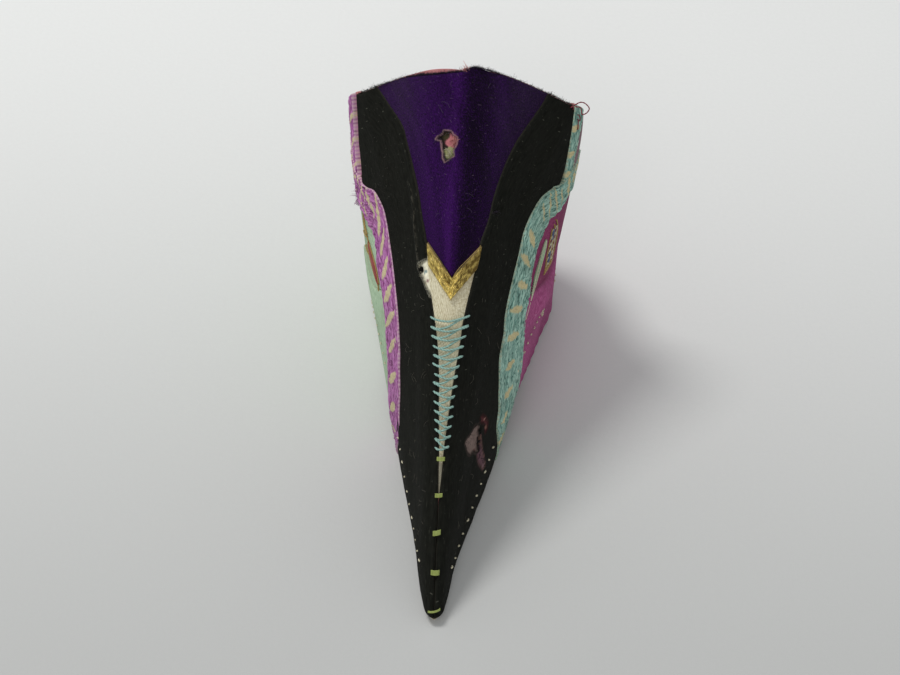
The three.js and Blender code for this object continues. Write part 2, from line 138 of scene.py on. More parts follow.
def facePoint(rib, rise):
    # base edge plus rise times the way to the top edge, swelled by a parabola at mid height
    lowX = (shoe["ballWidth"] * last["ball"](rib) + shoe["heelWidth"] * last["heel"](rib)) / 2
    lowY = shoe["length"] * last["baseBack"](rib)
    lowZ = underside(lowY) + shoe["hemLift"]
    highX = shoe["collarWidth"] * last["topHalf"](rib) / 2
    highY = shoe["length"] * last["topBack"](rib)
    highZ = shoe["frontHeight"] * last["front"](rib) + shoe["quarterHeight"] * last["quarter"](rib)
    belly = 4 * rise * (1 - rise)
    x = lowX + (highX - lowX) * rise + belly * shoe["collarWidth"] * last["swell"](rib) / 2
    y = lowY + (highY - lowY) * rise + belly * shoe["length"] * last["swellBack"](rib)
    return np.stack([x, y, lowZ + (highZ - lowZ) * rise], -1)


def faceNormal(rib, rise):
    # the cross product of a small step round the shoe and a small step up it
    nudge = 1e-3
    around = facePoint(np.clip(rib + nudge, 0, 1), rise) - facePoint(np.clip(rib - nudge, 0, 1), rise)
    up = facePoint(rib, rise + nudge) - facePoint(rib, rise - nudge)
    out = np.cross(around, up)
    return out / np.linalg.norm(out, axis=-1, keepdims=True)


mitreRises = np.linspace(0, 1, 51)
mitreDepths = np.array([0, 0.3, 0.6, 0.9, 1.2, 1.8, 2.4, 3.2])


def mitreTable():
    # the rib where a face at each depth meets the middle plane, for each rise
    probe = np.linspace(0, 0.36, 721)
    rib, rise = np.meshgrid(probe, mitreRises)
    face, out = facePoint(rib, rise)[..., 0], faceNormal(rib, rise)[..., 0]
    rows = [np.zeros(len(mitreRises))]
    for depth in mitreDepths[1:]:
        x = face - out * depth
        k = np.argmax(x[:, 1:] >= 0, axis=1) + 1
        i = np.arange(len(mitreRises))
        part = np.clip(-x[i, k - 1] / (x[i, k] - x[i, k - 1]), 0, 1)
        rows.append(probe[k - 1] + part * (probe[k] - probe[k - 1]))
    return np.array(rows)


mitres = mitreTable()


def mitreAt(rise, depth):
    # the table read between its four nearest entries
    k = np.clip(np.searchsorted(mitreDepths, depth, side="right") - 1, 0, len(mitreDepths) - 2)
    t = (depth - mitreDepths[k]) / (mitreDepths[k + 1] - mitreDepths[k])
    j = np.clip(rise, 0, 1) * (len(mitreRises) - 1)
    i = np.clip(j.astype(int), 0, len(mitreRises) - 2)
    low = mitres[k, i] + (mitres[k, i + 1] - mitres[k, i]) * (j - i)
    high = mitres[k + 1, i] + (mitres[k + 1, i + 1] - mitres[k + 1, i]) * (j - i)
    return low + (high - low) * t


def place(signedRib, rise, depth=0.0):
    # a place at a depth under the finished face; the rib is + on the right and - on the left
    signedRib, rise, depth = (np.array(a, float) for a in np.broadcast_arrays(signedRib, rise, depth))
    rib = np.minimum(1, np.abs(signedRib))
    middle = (rib == 0) | (rib == 1)
    start = mitreAt(rise, np.maximum(depth, 0))
    rib = start + (1 - start) * rib
    point = facePoint(rib, rise) - faceNormal(rib, rise) * depth[..., None]
    across = np.sign(signedRib) * np.maximum(0, point[..., 0])
    bendLength = shoe["length"] * shoe["bendEnd"]
    bend = shoe["toeBend"] * np.maximum(0, 1 - point[..., 1] / bendLength) ** 2
    point[..., 0] = np.where(middle, 0, across) + bend
    point[..., 1] += shoe["backShift"]
    return point


def outward(signedRib, rise):
    # the face's normal, mirrored on the left side
    rib = np.clip(np.abs(signedRib), 0.002, 0.998)
    out = faceNormal(rib, np.asarray(rise, float) + 0 * rib)
    out[..., 0] *= np.where(np.asarray(signedRib) < 0, -1, 1)
    return out


# Smooth random heights: a lattice of seeded numbers, eased between its corners
lattices = {}


def softNoise(x, y, seed):
    # the four corners' numbers, blended by eased shares of the cell
    if seed not in lattices:
        lattices[seed] = np.random.default_rng(seed).random((128, 128))
    table = lattices[seed]
    i, j = np.floor(x).astype(int), np.floor(y).astype(int)
    f, g = x - np.floor(x), y - np.floor(y)
    f, g = f * f * (3 - 2 * f), g * g * (3 - 2 * g)
    corner = lambda a, b: table[(i + a) % 128, (j + b) % 128]
    low = corner(0, 0) * (1 - f) + corner(1, 0) * f
    high = corner(0, 1) * (1 - f) + corner(1, 1) * f
    return low * (1 - g) + high * g


def layered(x, y, seed, layers=3):
    # noise added to itself at half the size and half the strength, again and again
    total = sum(softNoise(x * 2 ** k, y * 2 ** k, seed + k) * 0.5 ** k for k in range(layers))
    return total / (2 - 2 * 0.5 ** layers)


def uneven(height, x, y, seed):
    # the same noise about zero, from half the height below it to half above it
    return height * (layered(x, y, seed) - 0.5)


def crowded(share, amount):
    # evenly spread shares of 0..1, moved towards both ends by a sine
    return share - amount * np.sin(2 * np.pi * share) / (2 * np.pi)


def mix(a, b, t):
    return a + (b - a) * t


def bump(distance, width):
    # a bell: e to the minus square of the distance in widths
    return np.exp(-(distance / width) ** 2)


# Lines across one side of the shoe, top to base: the black vamp's inner edge, its outer edge under
# the ribbon, and the ribbon's rear edge. Each lean is how far the left side's edge lies behind the
# middle and the right side's before it.
lineColumns = ["innerRib", "innerRise", "innerLean", "ribbonRib", "ribbonRise", "ribbonLean",
               "ribbonDrop", "rearRib", "rearRise", "rearLean", "rearDrop"]
sideLines = np.array([
    [0.303, 1.000, 0.014, 0.420, 1.000, 0.000, 0.000, 0.420, 1.000, 0.000, 0.000],
    [0.260, 0.950, 0.005, 0.410, 0.940, 0.001, 0.000, 0.410, 0.940, 0.001, 0.000],
    [0.211, 0.900, 0.000, 0.401, 0.870, 0.001, 0.000, 0.401, 0.870, 0.001, 0.000],
    [0.182, 0.856, 0.005, 0.391, 0.815, 0.001, 0.005, 0.391, 0.815, 0.001, 0.005],
    [0.158, 0.812, 0.008, 0.379, 0.768, 0.009, 0.016, 0.405, 0.678, 0.002, 0.020],
    [0.137, 0.766, 0.008, 0.351, 0.765, -0.010, 0.015, 0.362, 0.667, -0.008, 0.026],
    [0.124, 0.722, 0.005, 0.304, 0.738, -0.006, 0.018, 0.344, 0.630, 0.000, 0.022],
    [0.103, 0.680, 0.006, 0.272, 0.689, 0.007, 0.006, 0.340, 0.593, 0.008, 0.015],
    [0.094, 0.640, 0.005, 0.259, 0.630, 0.006, 0.000, 0.340, 0.558, 0.007, 0.005],
    [0.080, 0.595, 0.006, 0.248, 0.570, 0.005, 0.000, 0.341, 0.513, -0.005, -0.001],
    [0.062, 0.548, 0.004, 0.241, 0.510, 0.004, 0.000, 0.338, 0.465, -0.008, 0.000],
    [0.045, 0.490, -0.003, 0.244, 0.460, -0.001, 0.000, 0.342, 0.415, -0.015, 0.000],
    [0.032, 0.430, -0.003, 0.244, 0.410, 0.000, 0.000, 0.349, 0.370, -0.022, 0.000],
    [0.023, 0.370, 0.000, 0.255, 0.360, -0.003, 0.000, 0.360, 0.325, -0.024, 0.000],
    [0.014, 0.315, 0.001, 0.268, 0.310, -0.008, 0.000, 0.375, 0.280, -0.027, 0.000],
    [0.009, 0.270, 0.000, 0.286, 0.260, -0.012, 0.000, 0.391, 0.230, -0.027, 0.000],
    [0.001, 0.210, 0.000, 0.297, 0.210, -0.014, 0.000, 0.409, 0.180, -0.027, 0.000],
    [0.000, 0.150, 0.000, 0.325, 0.160, -0.013, 0.000, 0.428, 0.125, -0.025, 0.000],
    [0.000, 0.095, 0.000, 0.360, 0.105, -0.008, 0.000, 0.450, 0.075, -0.020, 0.000],
    [0.000, 0.045, 0.000, 0.388, 0.050, -0.004, 0.000, 0.468, 0.035, -0.012, 0.000],
    [0.000, 0.000, 0.000, 0.410, 0.000, 0.000, 0.000, 0.480, 0.000, -0.010, 0.000],
])
turnLine, coverLine = 4, 9

# The arch ribbon's hidden end, from the side opening forward to its turn, in the ribbon's columns
ribbonEnd = np.array([
    [0.600, 1.000, 0.000, 0.000, 0.635, 1.000, 0.000, 0.000],
    [0.570, 0.905, 0.000, 0.000, 0.600, 0.855, 0.000, 0.000],
    [0.530, 0.830, 0.000, 0.004, 0.560, 0.762, 0.000, 0.004],
    [0.485, 0.788, 0.006, 0.010, 0.505, 0.708, 0.002, 0.010],
    [0.443, 0.772, 0.014, 0.014, 0.455, 0.683, 0.004, 0.016],
])

# Each front piece: the ridge place of each line across it, and the rib and rise of its edge
velvetLines = np.array([
    [1.000, 0.303, 1.000], [0.950, 0.260, 0.950], [0.900, 0.211, 0.900], [0.850, 0.182, 0.856],
    [0.800, 0.158, 0.812], [0.750, 0.137, 0.766], [0.700, 0.122, 0.722], [0.655, 0.108, 0.692],
    [0.620, 0.102, 0.674],
])
trimLines = np.array([[0.620, 0.103, 0.676], [0.599, 0.099, 0.655], [0.578, 0.092, 0.632]])
goreLines = np.array([
    [0.610, 0.100, 0.650], [0.578, 0.092, 0.632], [0.555, 0.080, 0.595], [0.525, 0.062, 0.548],
    [0.480, 0.045, 0.490], [0.425, 0.032, 0.430], [0.368, 0.023, 0.370], [0.315, 0.012, 0.315],
    [0.270, 0.009, 0.270], [0.225, 0.004, 0.225],
])


def smoothRows(rows):
    # a smooth curve through each column of a table, read at a share 0..1 of its rows
    steps = np.arange(len(rows))
    columns = [curve(steps, rows[:, k]) for k in range(rows.shape[1])]
    return lambda u: [column(np.asarray(u) * (len(rows) - 1)) for column in columns]


hands = ((-1, "left"), (1, "right"))


def sideCurves(side):
    # the three edges of one side, with the lean taken off on the right and added on the left
    t = {name: sideLines[:, k] for k, name in enumerate(lineColumns)}
    inner = np.stack([t["innerRib"] - side * t["innerLean"], t["innerRise"]], 1)
    ribbon, rear = (np.stack([t[edge + "Rib"] - side * t[edge + "Lean"],
                              t[edge + "Rise"] + side * t[edge + "Drop"]], 1) for edge in ("ribbon", "rear"))
    end = ribbonEnd[:, [0, 1, 4, 5]] + side * ribbonEnd[:, [2, 3, 6, 7]] * (-1, 1, -1, 1)
    arch = np.concatenate([end, np.concatenate([ribbon, rear], 1)[turnLine:]])
    return inner, ribbon, arch


def addPiece(name, mesh, finish, node=None):
    piece = bpy.data.objects.new(name, mesh)
    bpy.context.scene.collection.objects.link(piece)
    mesh.materials.append(finishes[finish])
    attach(piece, "root")
    if node:
        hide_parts(node)


def makeMesh(name, points, quads, triangles, uv, layers):
    # points in mm, then quads, then triangles; each layer is a number or a colour for each point
    mesh = bpy.data.meshes.new(name)
    quads = np.asarray(quads, np.int32).reshape(-1, 4)
    triangles = np.asarray(triangles, np.int32).reshape(-1, 3)
    loops = np.concatenate([quads.ravel(), triangles.ravel()])
    counts = np.concatenate([np.full(len(quads), 4), np.full(len(triangles), 3)])
    mesh.vertices.add(len(points))
    mesh.vertices.foreach_set("co", (points * mm).astype(np.float32).ravel())
    mesh.loops.add(len(loops))
    mesh.loops.foreach_set("vertex_index", loops)
    mesh.polygons.add(len(counts))
    mesh.polygons.foreach_set("loop_start", (np.cumsum(counts) - counts).astype(np.int32))
    mesh.update(calc_edges=True)
    mesh.shade_smooth()
    mesh.uv_layers.new(name="cloth").data.foreach_set("uv", uv[loops].astype(np.float32).ravel())
    for label, values in layers.items():
        kind, field = ("FLOAT_COLOR", "color") if values.ndim == 2 else ("FLOAT", "value")
        layer = mesh.attributes.new(label, kind, "POINT")
        layer.data.foreach_set(field, values.astype(np.float32).ravel())
    return mesh


def gridQuads(rows, columns, first=0):
    # each cell of a grid of points as one quad
    i, j = np.meshgrid(np.arange(rows - 1), np.arange(columns - 1), indexing="ij")
    a = (first + i * columns + j).ravel()
    return np.stack([a, a + 1, a + columns + 1, a + columns], 1)


def borderLoop(rows, columns, first=0):
    # the points of a grid's border, once round
    at = first + np.arange(rows * columns).reshape(rows, columns)
    return np.concatenate([at[0, :-1], at[:-1, -1], at[-1, :0:-1], at[:0:-1, 0]])


def clothGrid(spot, along, across, crowdAlong, crowdAcross):
    # a grid over the shoe's face, with each point's distances in mm along, across and to the edge
    u = crowded(np.linspace(0, 1, along + 1), crowdAlong)[:, None] + np.zeros((1, across + 1))
    v = crowded(np.linspace(0, 1, across + 1), crowdAcross)[None, :] + np.zeros((along + 1, 1))
    rib, rise = spot(u, v)
    flat = place(rib, rise)
    stepAlong = np.linalg.norm(np.diff(flat, axis=0), axis=-1)
    stepAcross = np.linalg.norm(np.diff(flat, axis=1), axis=-1)
    walked = np.concatenate([np.zeros((1, across + 1)), np.cumsum(stepAlong, 0)], 0)
    crossed = np.concatenate([np.zeros((along + 1, 1)), np.cumsum(stepAcross, 1)], 1)
    edge = np.minimum.reduce([walked, walked[-1:] - walked, crossed, crossed[:, -1:] - crossed])
    middle = walked[:, across // 2:across // 2 + 1] + 0 * v
    return {"u": u, "rib": rib, "rise": rise, "flat": flat, "edge": edge, "along": middle,
            "walked": walked, "across": crossed, "width": crossed[:, -1:] + 0 * v}


def gridPlace(grid, rib, rise):
    # the grid point nearest to a place on the face, as an index into the flattened grid
    return np.argmin((np.abs(grid["rib"]) - rib) ** 2 + (grid["rise"] - rise) ** 2)


backStep = 4  # steps of a piece's fine face to one of its back face
backGap = 0.05


def clothPiece(name, spot, size, finish, node, top, bottom, roll, relief, crowd):
    # a closed cloth piece: a fine outer face that rolls down at its border, and a coarse face behind;
    # top and bottom are depths in mm, roll is the width of the rolled border
    grid = clothGrid(spot, *size, *crowd)
    lift, layers = relief(grid)
    near = np.clip(1 - grid["edge"] / roll, 0, 1)
    rolled = (bottom - top) * (1 - np.sqrt(1 - near ** 2))
    depth = top + rolled - lift * ease(grid["edge"], 0, 1.2 * roll)
    outer = place(grid["rib"], grid["rise"], depth)
    pick = (slice(None, None, backStep), slice(None, None, backStep))
    inner = place(grid["rib"][pick], grid["rise"][pick], bottom + backGap)
    rows, columns = outer.shape[:2]
    backRows, backColumns = inner.shape[:2]
    first = rows * columns
    fine = borderLoop(rows, columns)
    coarse = borderLoop(backRows, backColumns, first)
    f = [np.roll(fine, -k)[::backStep] for k in range(backStep + 1)]
    c, d = coarse, np.roll(coarse, -1)
    bridge = np.concatenate([np.stack(three, 1) for three in (
        (c, f[1], f[0]), (c, f[2], f[1]), (c, d, f[2]), (d, f[3], f[2]), (d, f[4], f[3]))])
    quads = np.concatenate([gridQuads(rows, columns), gridQuads(backRows, backColumns, first)[:, ::-1]])
    i, j = rows // 2, columns // 2
    facing = np.cross(outer[i, j + 1] - outer[i, j], outer[i + 1, j + 1] - outer[i, j])
    if facing @ outward(grid["rib"][i, j], grid["rise"][i, j]) < 0:
        quads, bridge = quads[:, ::-1], bridge[:, ::-1]
    points = np.concatenate([outer.reshape(-1, 3), inner.reshape(-1, 3)])
    both = lambda a: np.concatenate([a.reshape(-1, *a.shape[2:]), a[pick].reshape(-1, *a.shape[2:])])
    uv = both(np.stack([grid["along"], grid["across"]], -1))
    layers = {"edge": grid["edge"], **layers}
    mesh = makeMesh(name, points, quads, bridge, uv, {k: both(a) for k, a in layers.items()})
    addPiece(name, mesh, finish, node)


def threadPiece(name, paths, ups, radius, finish, sides=6, ply=0.0, turns=1.2):
    # tubes along many paths at once; each ring is cosine times side plus sine times top, and a ply
    # swells the ring twice round, turning as it goes along
    paths = np.asarray(paths, float)
    ups = np.broadcast_to(ups, paths.shape)
    count, steps = paths.shape[:2]
    ahead = np.gradient(paths, axis=1)
    ahead /= np.linalg.norm(ahead, axis=-1, keepdims=True) + 1e-9
    side = np.cross(ahead, ups)
    side /= np.linalg.norm(side, axis=-1, keepdims=True) + 1e-9
    top = np.cross(side, ahead)
    walked = np.linalg.norm(np.diff(paths, axis=1), axis=-1)
    walked = np.concatenate([np.zeros((count, 1)), np.cumsum(walked, 1)], 1)
    angle = np.linspace(0, 2 * np.pi, sides, endpoint=False)
    reach = np.broadcast_to(radius, (count, steps))[..., None]
    reach = reach * (1 + ply * np.cos(2 * angle - 2 * np.pi * turns * walked[..., None]))
    ring = np.cos(angle)[:, None] * side[:, :, None] + np.sin(angle)[:, None] * top[:, :, None]
    points = paths[:, :, None] + ring * reach[..., None]
    body = count * steps * sides
    n, s, k = np.meshgrid(np.arange(count), np.arange(steps - 1), np.arange(sides), indexing="ij")
    a = (n * steps + s) * sides + k
    b = (n * steps + s) * sides + (k + 1) % sides
    quads = np.stack([a, a + sides, b + sides, b], -1).reshape(-1, 4)
    n, k = np.meshgrid(np.arange(count), np.arange(sides), indexing="ij")
    first = n * steps * sides
    end = first + (steps - 1) * sides
    caps = np.concatenate([
        np.stack([first + k, first + (k + 1) % sides, body + n], -1).reshape(-1, 3),
        np.stack([end + (k + 1) % sides, end + k, body + count + n], -1).reshape(-1, 3)])
    centres = np.concatenate([paths[:, 0], paths[:, -1]])
    uv = np.stack(np.broadcast_arrays(walked[..., None], angle * 0.2), -1).reshape(-1, 2)
    uv = np.concatenate([uv, np.zeros((2 * count, 2))])
    points = np.concatenate([points.reshape(-1, 3), centres])
    addPiece(name, makeMesh(name, points, quads, caps, uv, {}), finish)


def laid(ribs, rises, height):
    # points that lie above the shoe's face, and the directions that point out of it there
    ribs, rises = np.asarray(ribs, float), np.asarray(rises, float)
    return place(ribs, rises, -np.asarray(height)), outward(ribs, rises)


def localFrame(rib, rise):
    # the face round one place as a plane: rows turn a step in rib and rise into mm back and mm up
    nudge = 1e-3
    out = outward(rib, rise)
    back = np.cross([0, 0, 1.0], out) * np.sign(rib)
    back /= np.linalg.norm(back)
    up = np.cross(out, back) * np.sign(rib)
    perRib = (place(rib + nudge, rise) - place(rib, rise)) / nudge
    perRise = (place(rib, rise + nudge) - place(rib, rise)) / nudge
    return np.array([[perRib @ back, perRise @ back], [perRib @ up, perRise @ up]])


def toLocal(centre, rib, rise):
    # the step from the centre in rib and rise, turned into mm back and up
    frameHere = localFrame(*centre)
    step = np.stack([rib - centre[0], rise - centre[1]], -1)
    return step @ frameHere.T


def fromLocal(centre, back, up):
    # the same the other way: mm back and up, turned into rib and rise
    inverse = np.linalg.inv(localFrame(*centre))
    step = np.stack([back, up], -1) @ inverse.T
    return centre[0] + step[..., 0], centre[1] + step[..., 1]


def lineDistance(points, starts, ends):
    # the least distance from each point to the straight pieces between the starts and the ends
    nearest = np.full(points.shape[:-1], 1e9)
    for a, b in zip(starts, ends):
        run = b - a
        t = np.clip(((points - a) @ run) / (run @ run), 0, 1)
        nearest = np.minimum(nearest, np.linalg.norm(points - a - t[..., None] * run, axis=-1))
    return nearest


def outlineDistance(points, corners):
    # distance to a closed outline, negative inside it: the nearest edge, and a count of crossings
    nexts = np.roll(corners, -1, 0)
    inside = np.zeros(points.shape[:-1], bool)
    for a, b in zip(corners, nexts):
        run = b - a
        level = (a[1] > points[..., 1]) != (b[1] > points[..., 1])
        crossing = a[0] + run[0] * (points[..., 1] - a[1]) / (run[1] if run[1] else 1e-9)
        inside ^= level & (points[..., 0] < crossing)
    return np.where(inside, -1, 1) * lineDistance(points, corners, nexts)


def pathDistance(flat, ribs, rises):
    # distance in mm from each point of the face to a line laid over it
    line = place(np.asarray(ribs), np.asarray(rises))
    return lineDistance(flat, line[:-1], line[1:])


# Shader helpers
def srgb(red, green, blue):
    # a screen colour of 0..255 as the linear colour that the shaders take
    c = np.array([red, green, blue]) / 255
    c = np.where(c <= 0.04045, c / 12.92, ((c + 0.055) / 1.055) ** 2.4)
    return (*[float(x) for x in c], 1.0)


def plug(tree, socket, value):
    # what feeds a socket: a link from another node, or a constant on the socket itself
    if isinstance(value, bpy.types.NodeSocket):
        tree.links.new(value, socket)
    else:
        socket.default_value = value


def addNode(tree, kind, inputs=None, **settings):
    made = tree.nodes.new(kind)
    for name, value in settings.items():
        setattr(made, name, value)
    for name, value in (inputs or {}).items():
        plug(tree, made.inputs[name], value)
    return made


def calc(tree, operation, *values, clamp=False):
    return addNode(tree, "ShaderNodeMath", dict(enumerate(values)), operation=operation,
                   use_clamp=clamp).outputs[0]


def plus(tree, a, b, clamp=False):
    return calc(tree, "ADD", a, b, clamp=clamp)


def minus(tree, a, b):
    return calc(tree, "SUBTRACT", a, b)


def times(tree, a, b):
    return calc(tree, "MULTIPLY", a, b)


def mixColour(tree, factor, a, b):
    return addNode(tree, "ShaderNodeMix", {0: factor, 6: a, 7: b}, data_type="RGBA").outputs[2]


def tinted(tree, colour, mask, share, tint):
    return mixColour(tree, times(tree, mask, share), colour, tint)


def between(tree, value, low, high, start=0.0, end=1.0):
    return addNode(tree, "ShaderNodeMapRange", {0: value, 1: low, 2: high, 3: start, 4: end},
                   interpolation_type="SMOOTHSTEP").outputs[0]


def noise(tree, vector, scale, detail=2.0, roughness=0.5):
    return addNode(tree, "ShaderNodeTexNoise", {"Vector": vector, "Scale": scale, "Detail": detail,
                                                "Roughness": roughness}).outputs[0]


def stretched(tree, vector, x, y, z=1.0):
    return addNode(tree, "ShaderNodeVectorMath", {0: vector, 1: (x, y, z)},
                   operation="MULTIPLY").outputs[0]


def attribute(tree, name, output="Fac"):
    return addNode(tree, "ShaderNodeAttribute", attribute_name=name).outputs[output]


def objectPlace(tree):
    return addNode(tree, "ShaderNodeTexCoord").outputs["Object"]


def axes(tree, vector):
    return addNode(tree, "ShaderNodeSeparateXYZ", {0: vector}).outputs


def makeGroup(name, output, given):
    # a group that reads a vector and the given numbers, and puts out one mask or height
    tree = bpy.data.node_groups.new(name, "ShaderNodeTree")
    tree.interface.new_socket(name="Vector", in_out="INPUT", socket_type="NodeSocketVector")
    for label, value in given.items():
        socket = tree.interface.new_socket(name=label, in_out="INPUT", socket_type="NodeSocketFloat")
        socket.default_value = value
    tree.interface.new_socket(name=output, in_out="OUTPUT", socket_type="NodeSocketFloat")
    start, end = tree.nodes.new("NodeGroupInput"), tree.nodes.new("NodeGroupOutput")
    return tree, start.outputs, end.inputs[output]


def weaveGroup():
    # crossed threads, or a diagonal twill where the slant is not 0; the vector is in mm
    tree, given, out = makeGroup("Weave", "Height", {"Pitch": 0.4, "Slant": 0.0})
    wobble = times(tree, noise(tree, given["Vector"], 1.3, 2.0), 0.3)
    parts = axes(tree, given["Vector"])
    turn = calc(tree, "DIVIDE", 2 * math.pi, given["Pitch"])
    x, y = (times(tree, plus(tree, parts[k], wobble), turn) for k in (0, 1))
    slanted = plus(tree, x, times(tree, y, given["Slant"]))
    warp, weft = calc(tree, "SINE", slanted), calc(tree, "SINE", y)
    share = calc(tree, "ABSOLUTE", given["Slant"], clamp=True)
    crossed = times(tree, times(tree, warp, weft), minus(tree, 1.0, share))
    both = plus(tree, times(tree, warp, share), crossed)
    plug(tree, out, plus(tree, times(tree, both, 0.5), 0.5))
    return tree


def lintGroup():
    # sparse pale fibres and specks: the narrow peaks of three stretched noises
    tree, given, out = makeGroup("Lint", "Mask", {"Amount": 0.5})
    limit = minus(tree, 0.80, times(tree, given["Amount"], 0.14))
    marks = []
    for x, y, scale in ((0.35, 2.6, 1.4), (1.9, 0.45, 1.1), (1.0, 1.0, 3.1)):
        value = noise(tree, stretched(tree, given["Vector"], x, y), scale, 1.0, 0.4)
        marks.append(between(tree, minus(tree, value, limit), 0.0, 0.05))
    plug(tree, out, calc(tree, "MAXIMUM", calc(tree, "MAXIMUM", marks[0], marks[1]), marks[2]))
    return tree


def wearGroup():
    # rubbing that comes in from a piece's edge, broken up by noise; edge and reach are in mm
    tree, given, out = makeGroup("Edge wear", "Mask", {"Edge": 1.0, "Reach": 0.5})
    ragged = times(tree, noise(tree, given["Vector"], 1.6, 4.0, 0.6), 2.0)
    share = calc(tree, "DIVIDE", given["Edge"], times(tree, given["Reach"], ragged))
    plug(tree, out, between(tree, share, 1.0, 0.2))
    return tree


def soilGroup():
    # broad uneven fading and dirt
    tree, given, out = makeGroup("Soil", "Mask", {"Scale": 0.1})
    broad = noise(tree, given["Vector"], given["Scale"], 5.0, 0.62)
    plug(tree, out, between(tree, broad, 0.38, 0.68))
    return tree


groups = {"weave": weaveGroup(), "lint": lintGroup(), "wear": wearGroup(), "soil": soilGroup()}


def useGroup(tree, group, vector, given):
    made = addNode(tree, "ShaderNodeGroup", {"Vector": vector, **given}, node_tree=groups[group])
    return made.outputs[0]


def newMaterial(name):
    made = bpy.data.materials.new(name)
    made.use_nodes = True
    return made, made.node_tree, made.node_tree.nodes["Principled BSDF"]


def newFinish(name):
    # the vector is the piece's own cloth map, in mm
    made, tree, shader = newMaterial(name)
    return made, tree, shader, addNode(tree, "ShaderNodeUVMap", uv_map="cloth").outputs[0]


def finishWith(tree, shader, colour, roughness, gloss, height, strength, relief):
    # the relief is in mm
    bumped = addNode(tree, "ShaderNodeBump", {"Height": height, "Strength": strength,
                                              "Distance": relief * mm})
    for name, value in (("Normal", bumped.outputs[0]), ("Base Color", colour), ("Roughness", roughness),
                        ("Specular IOR Level", gloss)):
        plug(tree, shader.inputs[name], value)


def rubbed(tree, colour, vector, reach, share, tint):
    # worn to a tint along the piece's edge; the reach is in mm
    wear = useGroup(tree, "wear", vector, {"Edge": attribute(tree, "edge"), "Reach": reach})
    return tinted(tree, colour, wear, share, tint)


def bared(tree, colour):
    # what shows where the cloth is torn or rubbed through
    return mixColour(tree, attribute(tree, "bare"), colour, attribute(tree, "bareColour", "Color"))


# Each cloth's shades; its lint, wear and soil; the pitch of its weave and its relief in mm
clothPlans = {
    "black": {"name": "Black cloth", "dark": (9, 10, 7), "light": (32, 33, 28), "lint": (104, 104, 94),
              "worn": (50, 48, 42), "soiled": (29, 29, 25), "lintAmount": 0.45, "wearReach": 0.35,
              "soil": 0.3, "pitch": 0.36, "relief": 0.11, "gloss": 0.1, "bare": True, "grain": (0.55, 1.7)},
    "satin": {"name": "Cream satin", "dark": (176, 164, 126), "light": (252, 247, 220),
              "lint": (240, 236, 220), "worn": (210, 198, 168), "soiled": (164, 134, 92),
              "lintAmount": 0.3, "wearReach": 0.4, "soil": 0.25, "pitch": 0.5, "slant": 0.8,
              "relief": 0.12, "gloss": 0.35, "roughness": 0.6, "bare": True, "weaveShare": 0.45},
    "magenta": {"name": "Magenta cloth", "dark": (136, 56, 102), "light": (192, 104, 154),
                "lint": (196, 150, 176), "worn": (146, 84, 112), "soiled": (98, 52, 70),
                "lintAmount": 0.5, "wearReach": 0.5, "soil": 0.3, "pitch": 0.45, "relief": 0.07,
                "gloss": 0.18},
    "plum": {"name": "Plum cloth", "dark": (112, 36, 74), "light": (160, 76, 118), "lint": (180, 130, 150),
             "worn": (120, 70, 84), "soiled": (70, 26, 44), "lintAmount": 0.4, "wearReach": 0.4,
             "soil": 0.3, "pitch": 0.45, "relief": 0.07, "gloss": 0.2},
    "sage": {"name": "Sage cloth", "dark": (150, 180, 146), "light": (200, 222, 194),
             "lint": (214, 222, 200), "worn": (150, 160, 136), "soiled": (128, 138, 104),
             "lintAmount": 0.4, "wearReach": 0.5, "soil": 0.35, "pitch": 0.45, "relief": 0.07,
             "gloss": 0.18},
    "lining": {"name": "Pink cotton", "dark": (176, 106, 110), "light": (214, 150, 150),
               "lint": (232, 206, 200), "worn": (206, 140, 120), "soiled": (150, 104, 88),
               "lintAmount": 0.45, "wearReach": 0.6, "soil": 0.4, "pitch": 0.5, "relief": 0.08,
               "gloss": 0.1, "roughness": 0.95, "grain": (0.6, 0.9)},
}
# What a cloth has where its plan names nothing else
usualCloth = {"slant": 0.0, "roughness": 0.9, "bare": False, "grain": (1.5, 1.9), "weaveShare": 0.4}


def clothFinish(plan):
    # woven cloth: streaked between a dark and a light shade, soiled, rubbed at its edges, with lint
    plan = {**usualCloth, **plan}
    shade = {name: srgb(*plan[name]) for name in ("dark", "light", "lint", "worn", "soiled")}
    made, tree, shader, vector = newFinish(plan["name"])
    weave = useGroup(tree, "weave", vector, {"Pitch": plan["pitch"], "Slant": plan["slant"]})
    streak = noise(tree, stretched(tree, vector, *plan["grain"]), 1.0, 4.0, 0.6)
    tone = plus(tree, times(tree, weave, plan["weaveShare"]),
                times(tree, between(tree, streak, 0.3, 0.7), 1 - plan["weaveShare"]))
    colour = mixColour(tree, tone, shade["dark"], shade["light"])
    dirt = useGroup(tree, "soil", objectPlace(tree), {"Scale": 90.0})
    colour = tinted(tree, colour, dirt, plan["soil"], shade["soiled"])
    colour = rubbed(tree, colour, vector, plan["wearReach"], 0.75, shade["worn"])
    specks = useGroup(tree, "lint", vector, {"Amount": plan["lintAmount"]})
    colour = tinted(tree, colour, specks, 0.6, shade["lint"])
    if plan["bare"]:
        colour = bared(tree, colour)
    height = plus(tree, times(tree, weave, 0.5), streak)
    finishWith(tree, shader, colour, plan["roughness"], plan["gloss"], height, 0.8, plan["relief"])
    return made


# the pale shade also serves for painted light on the velvet, and the greyer shade for painted sheen
velvetShades = {"deep": srgb(10, 2, 18), "pale": srgb(66, 17, 100), "bloom": srgb(84, 70, 92),
                "rubbed": srgb(40, 34, 42), "lint": srgb(124, 100, 130), "sheen": srgb(150, 100, 190)}


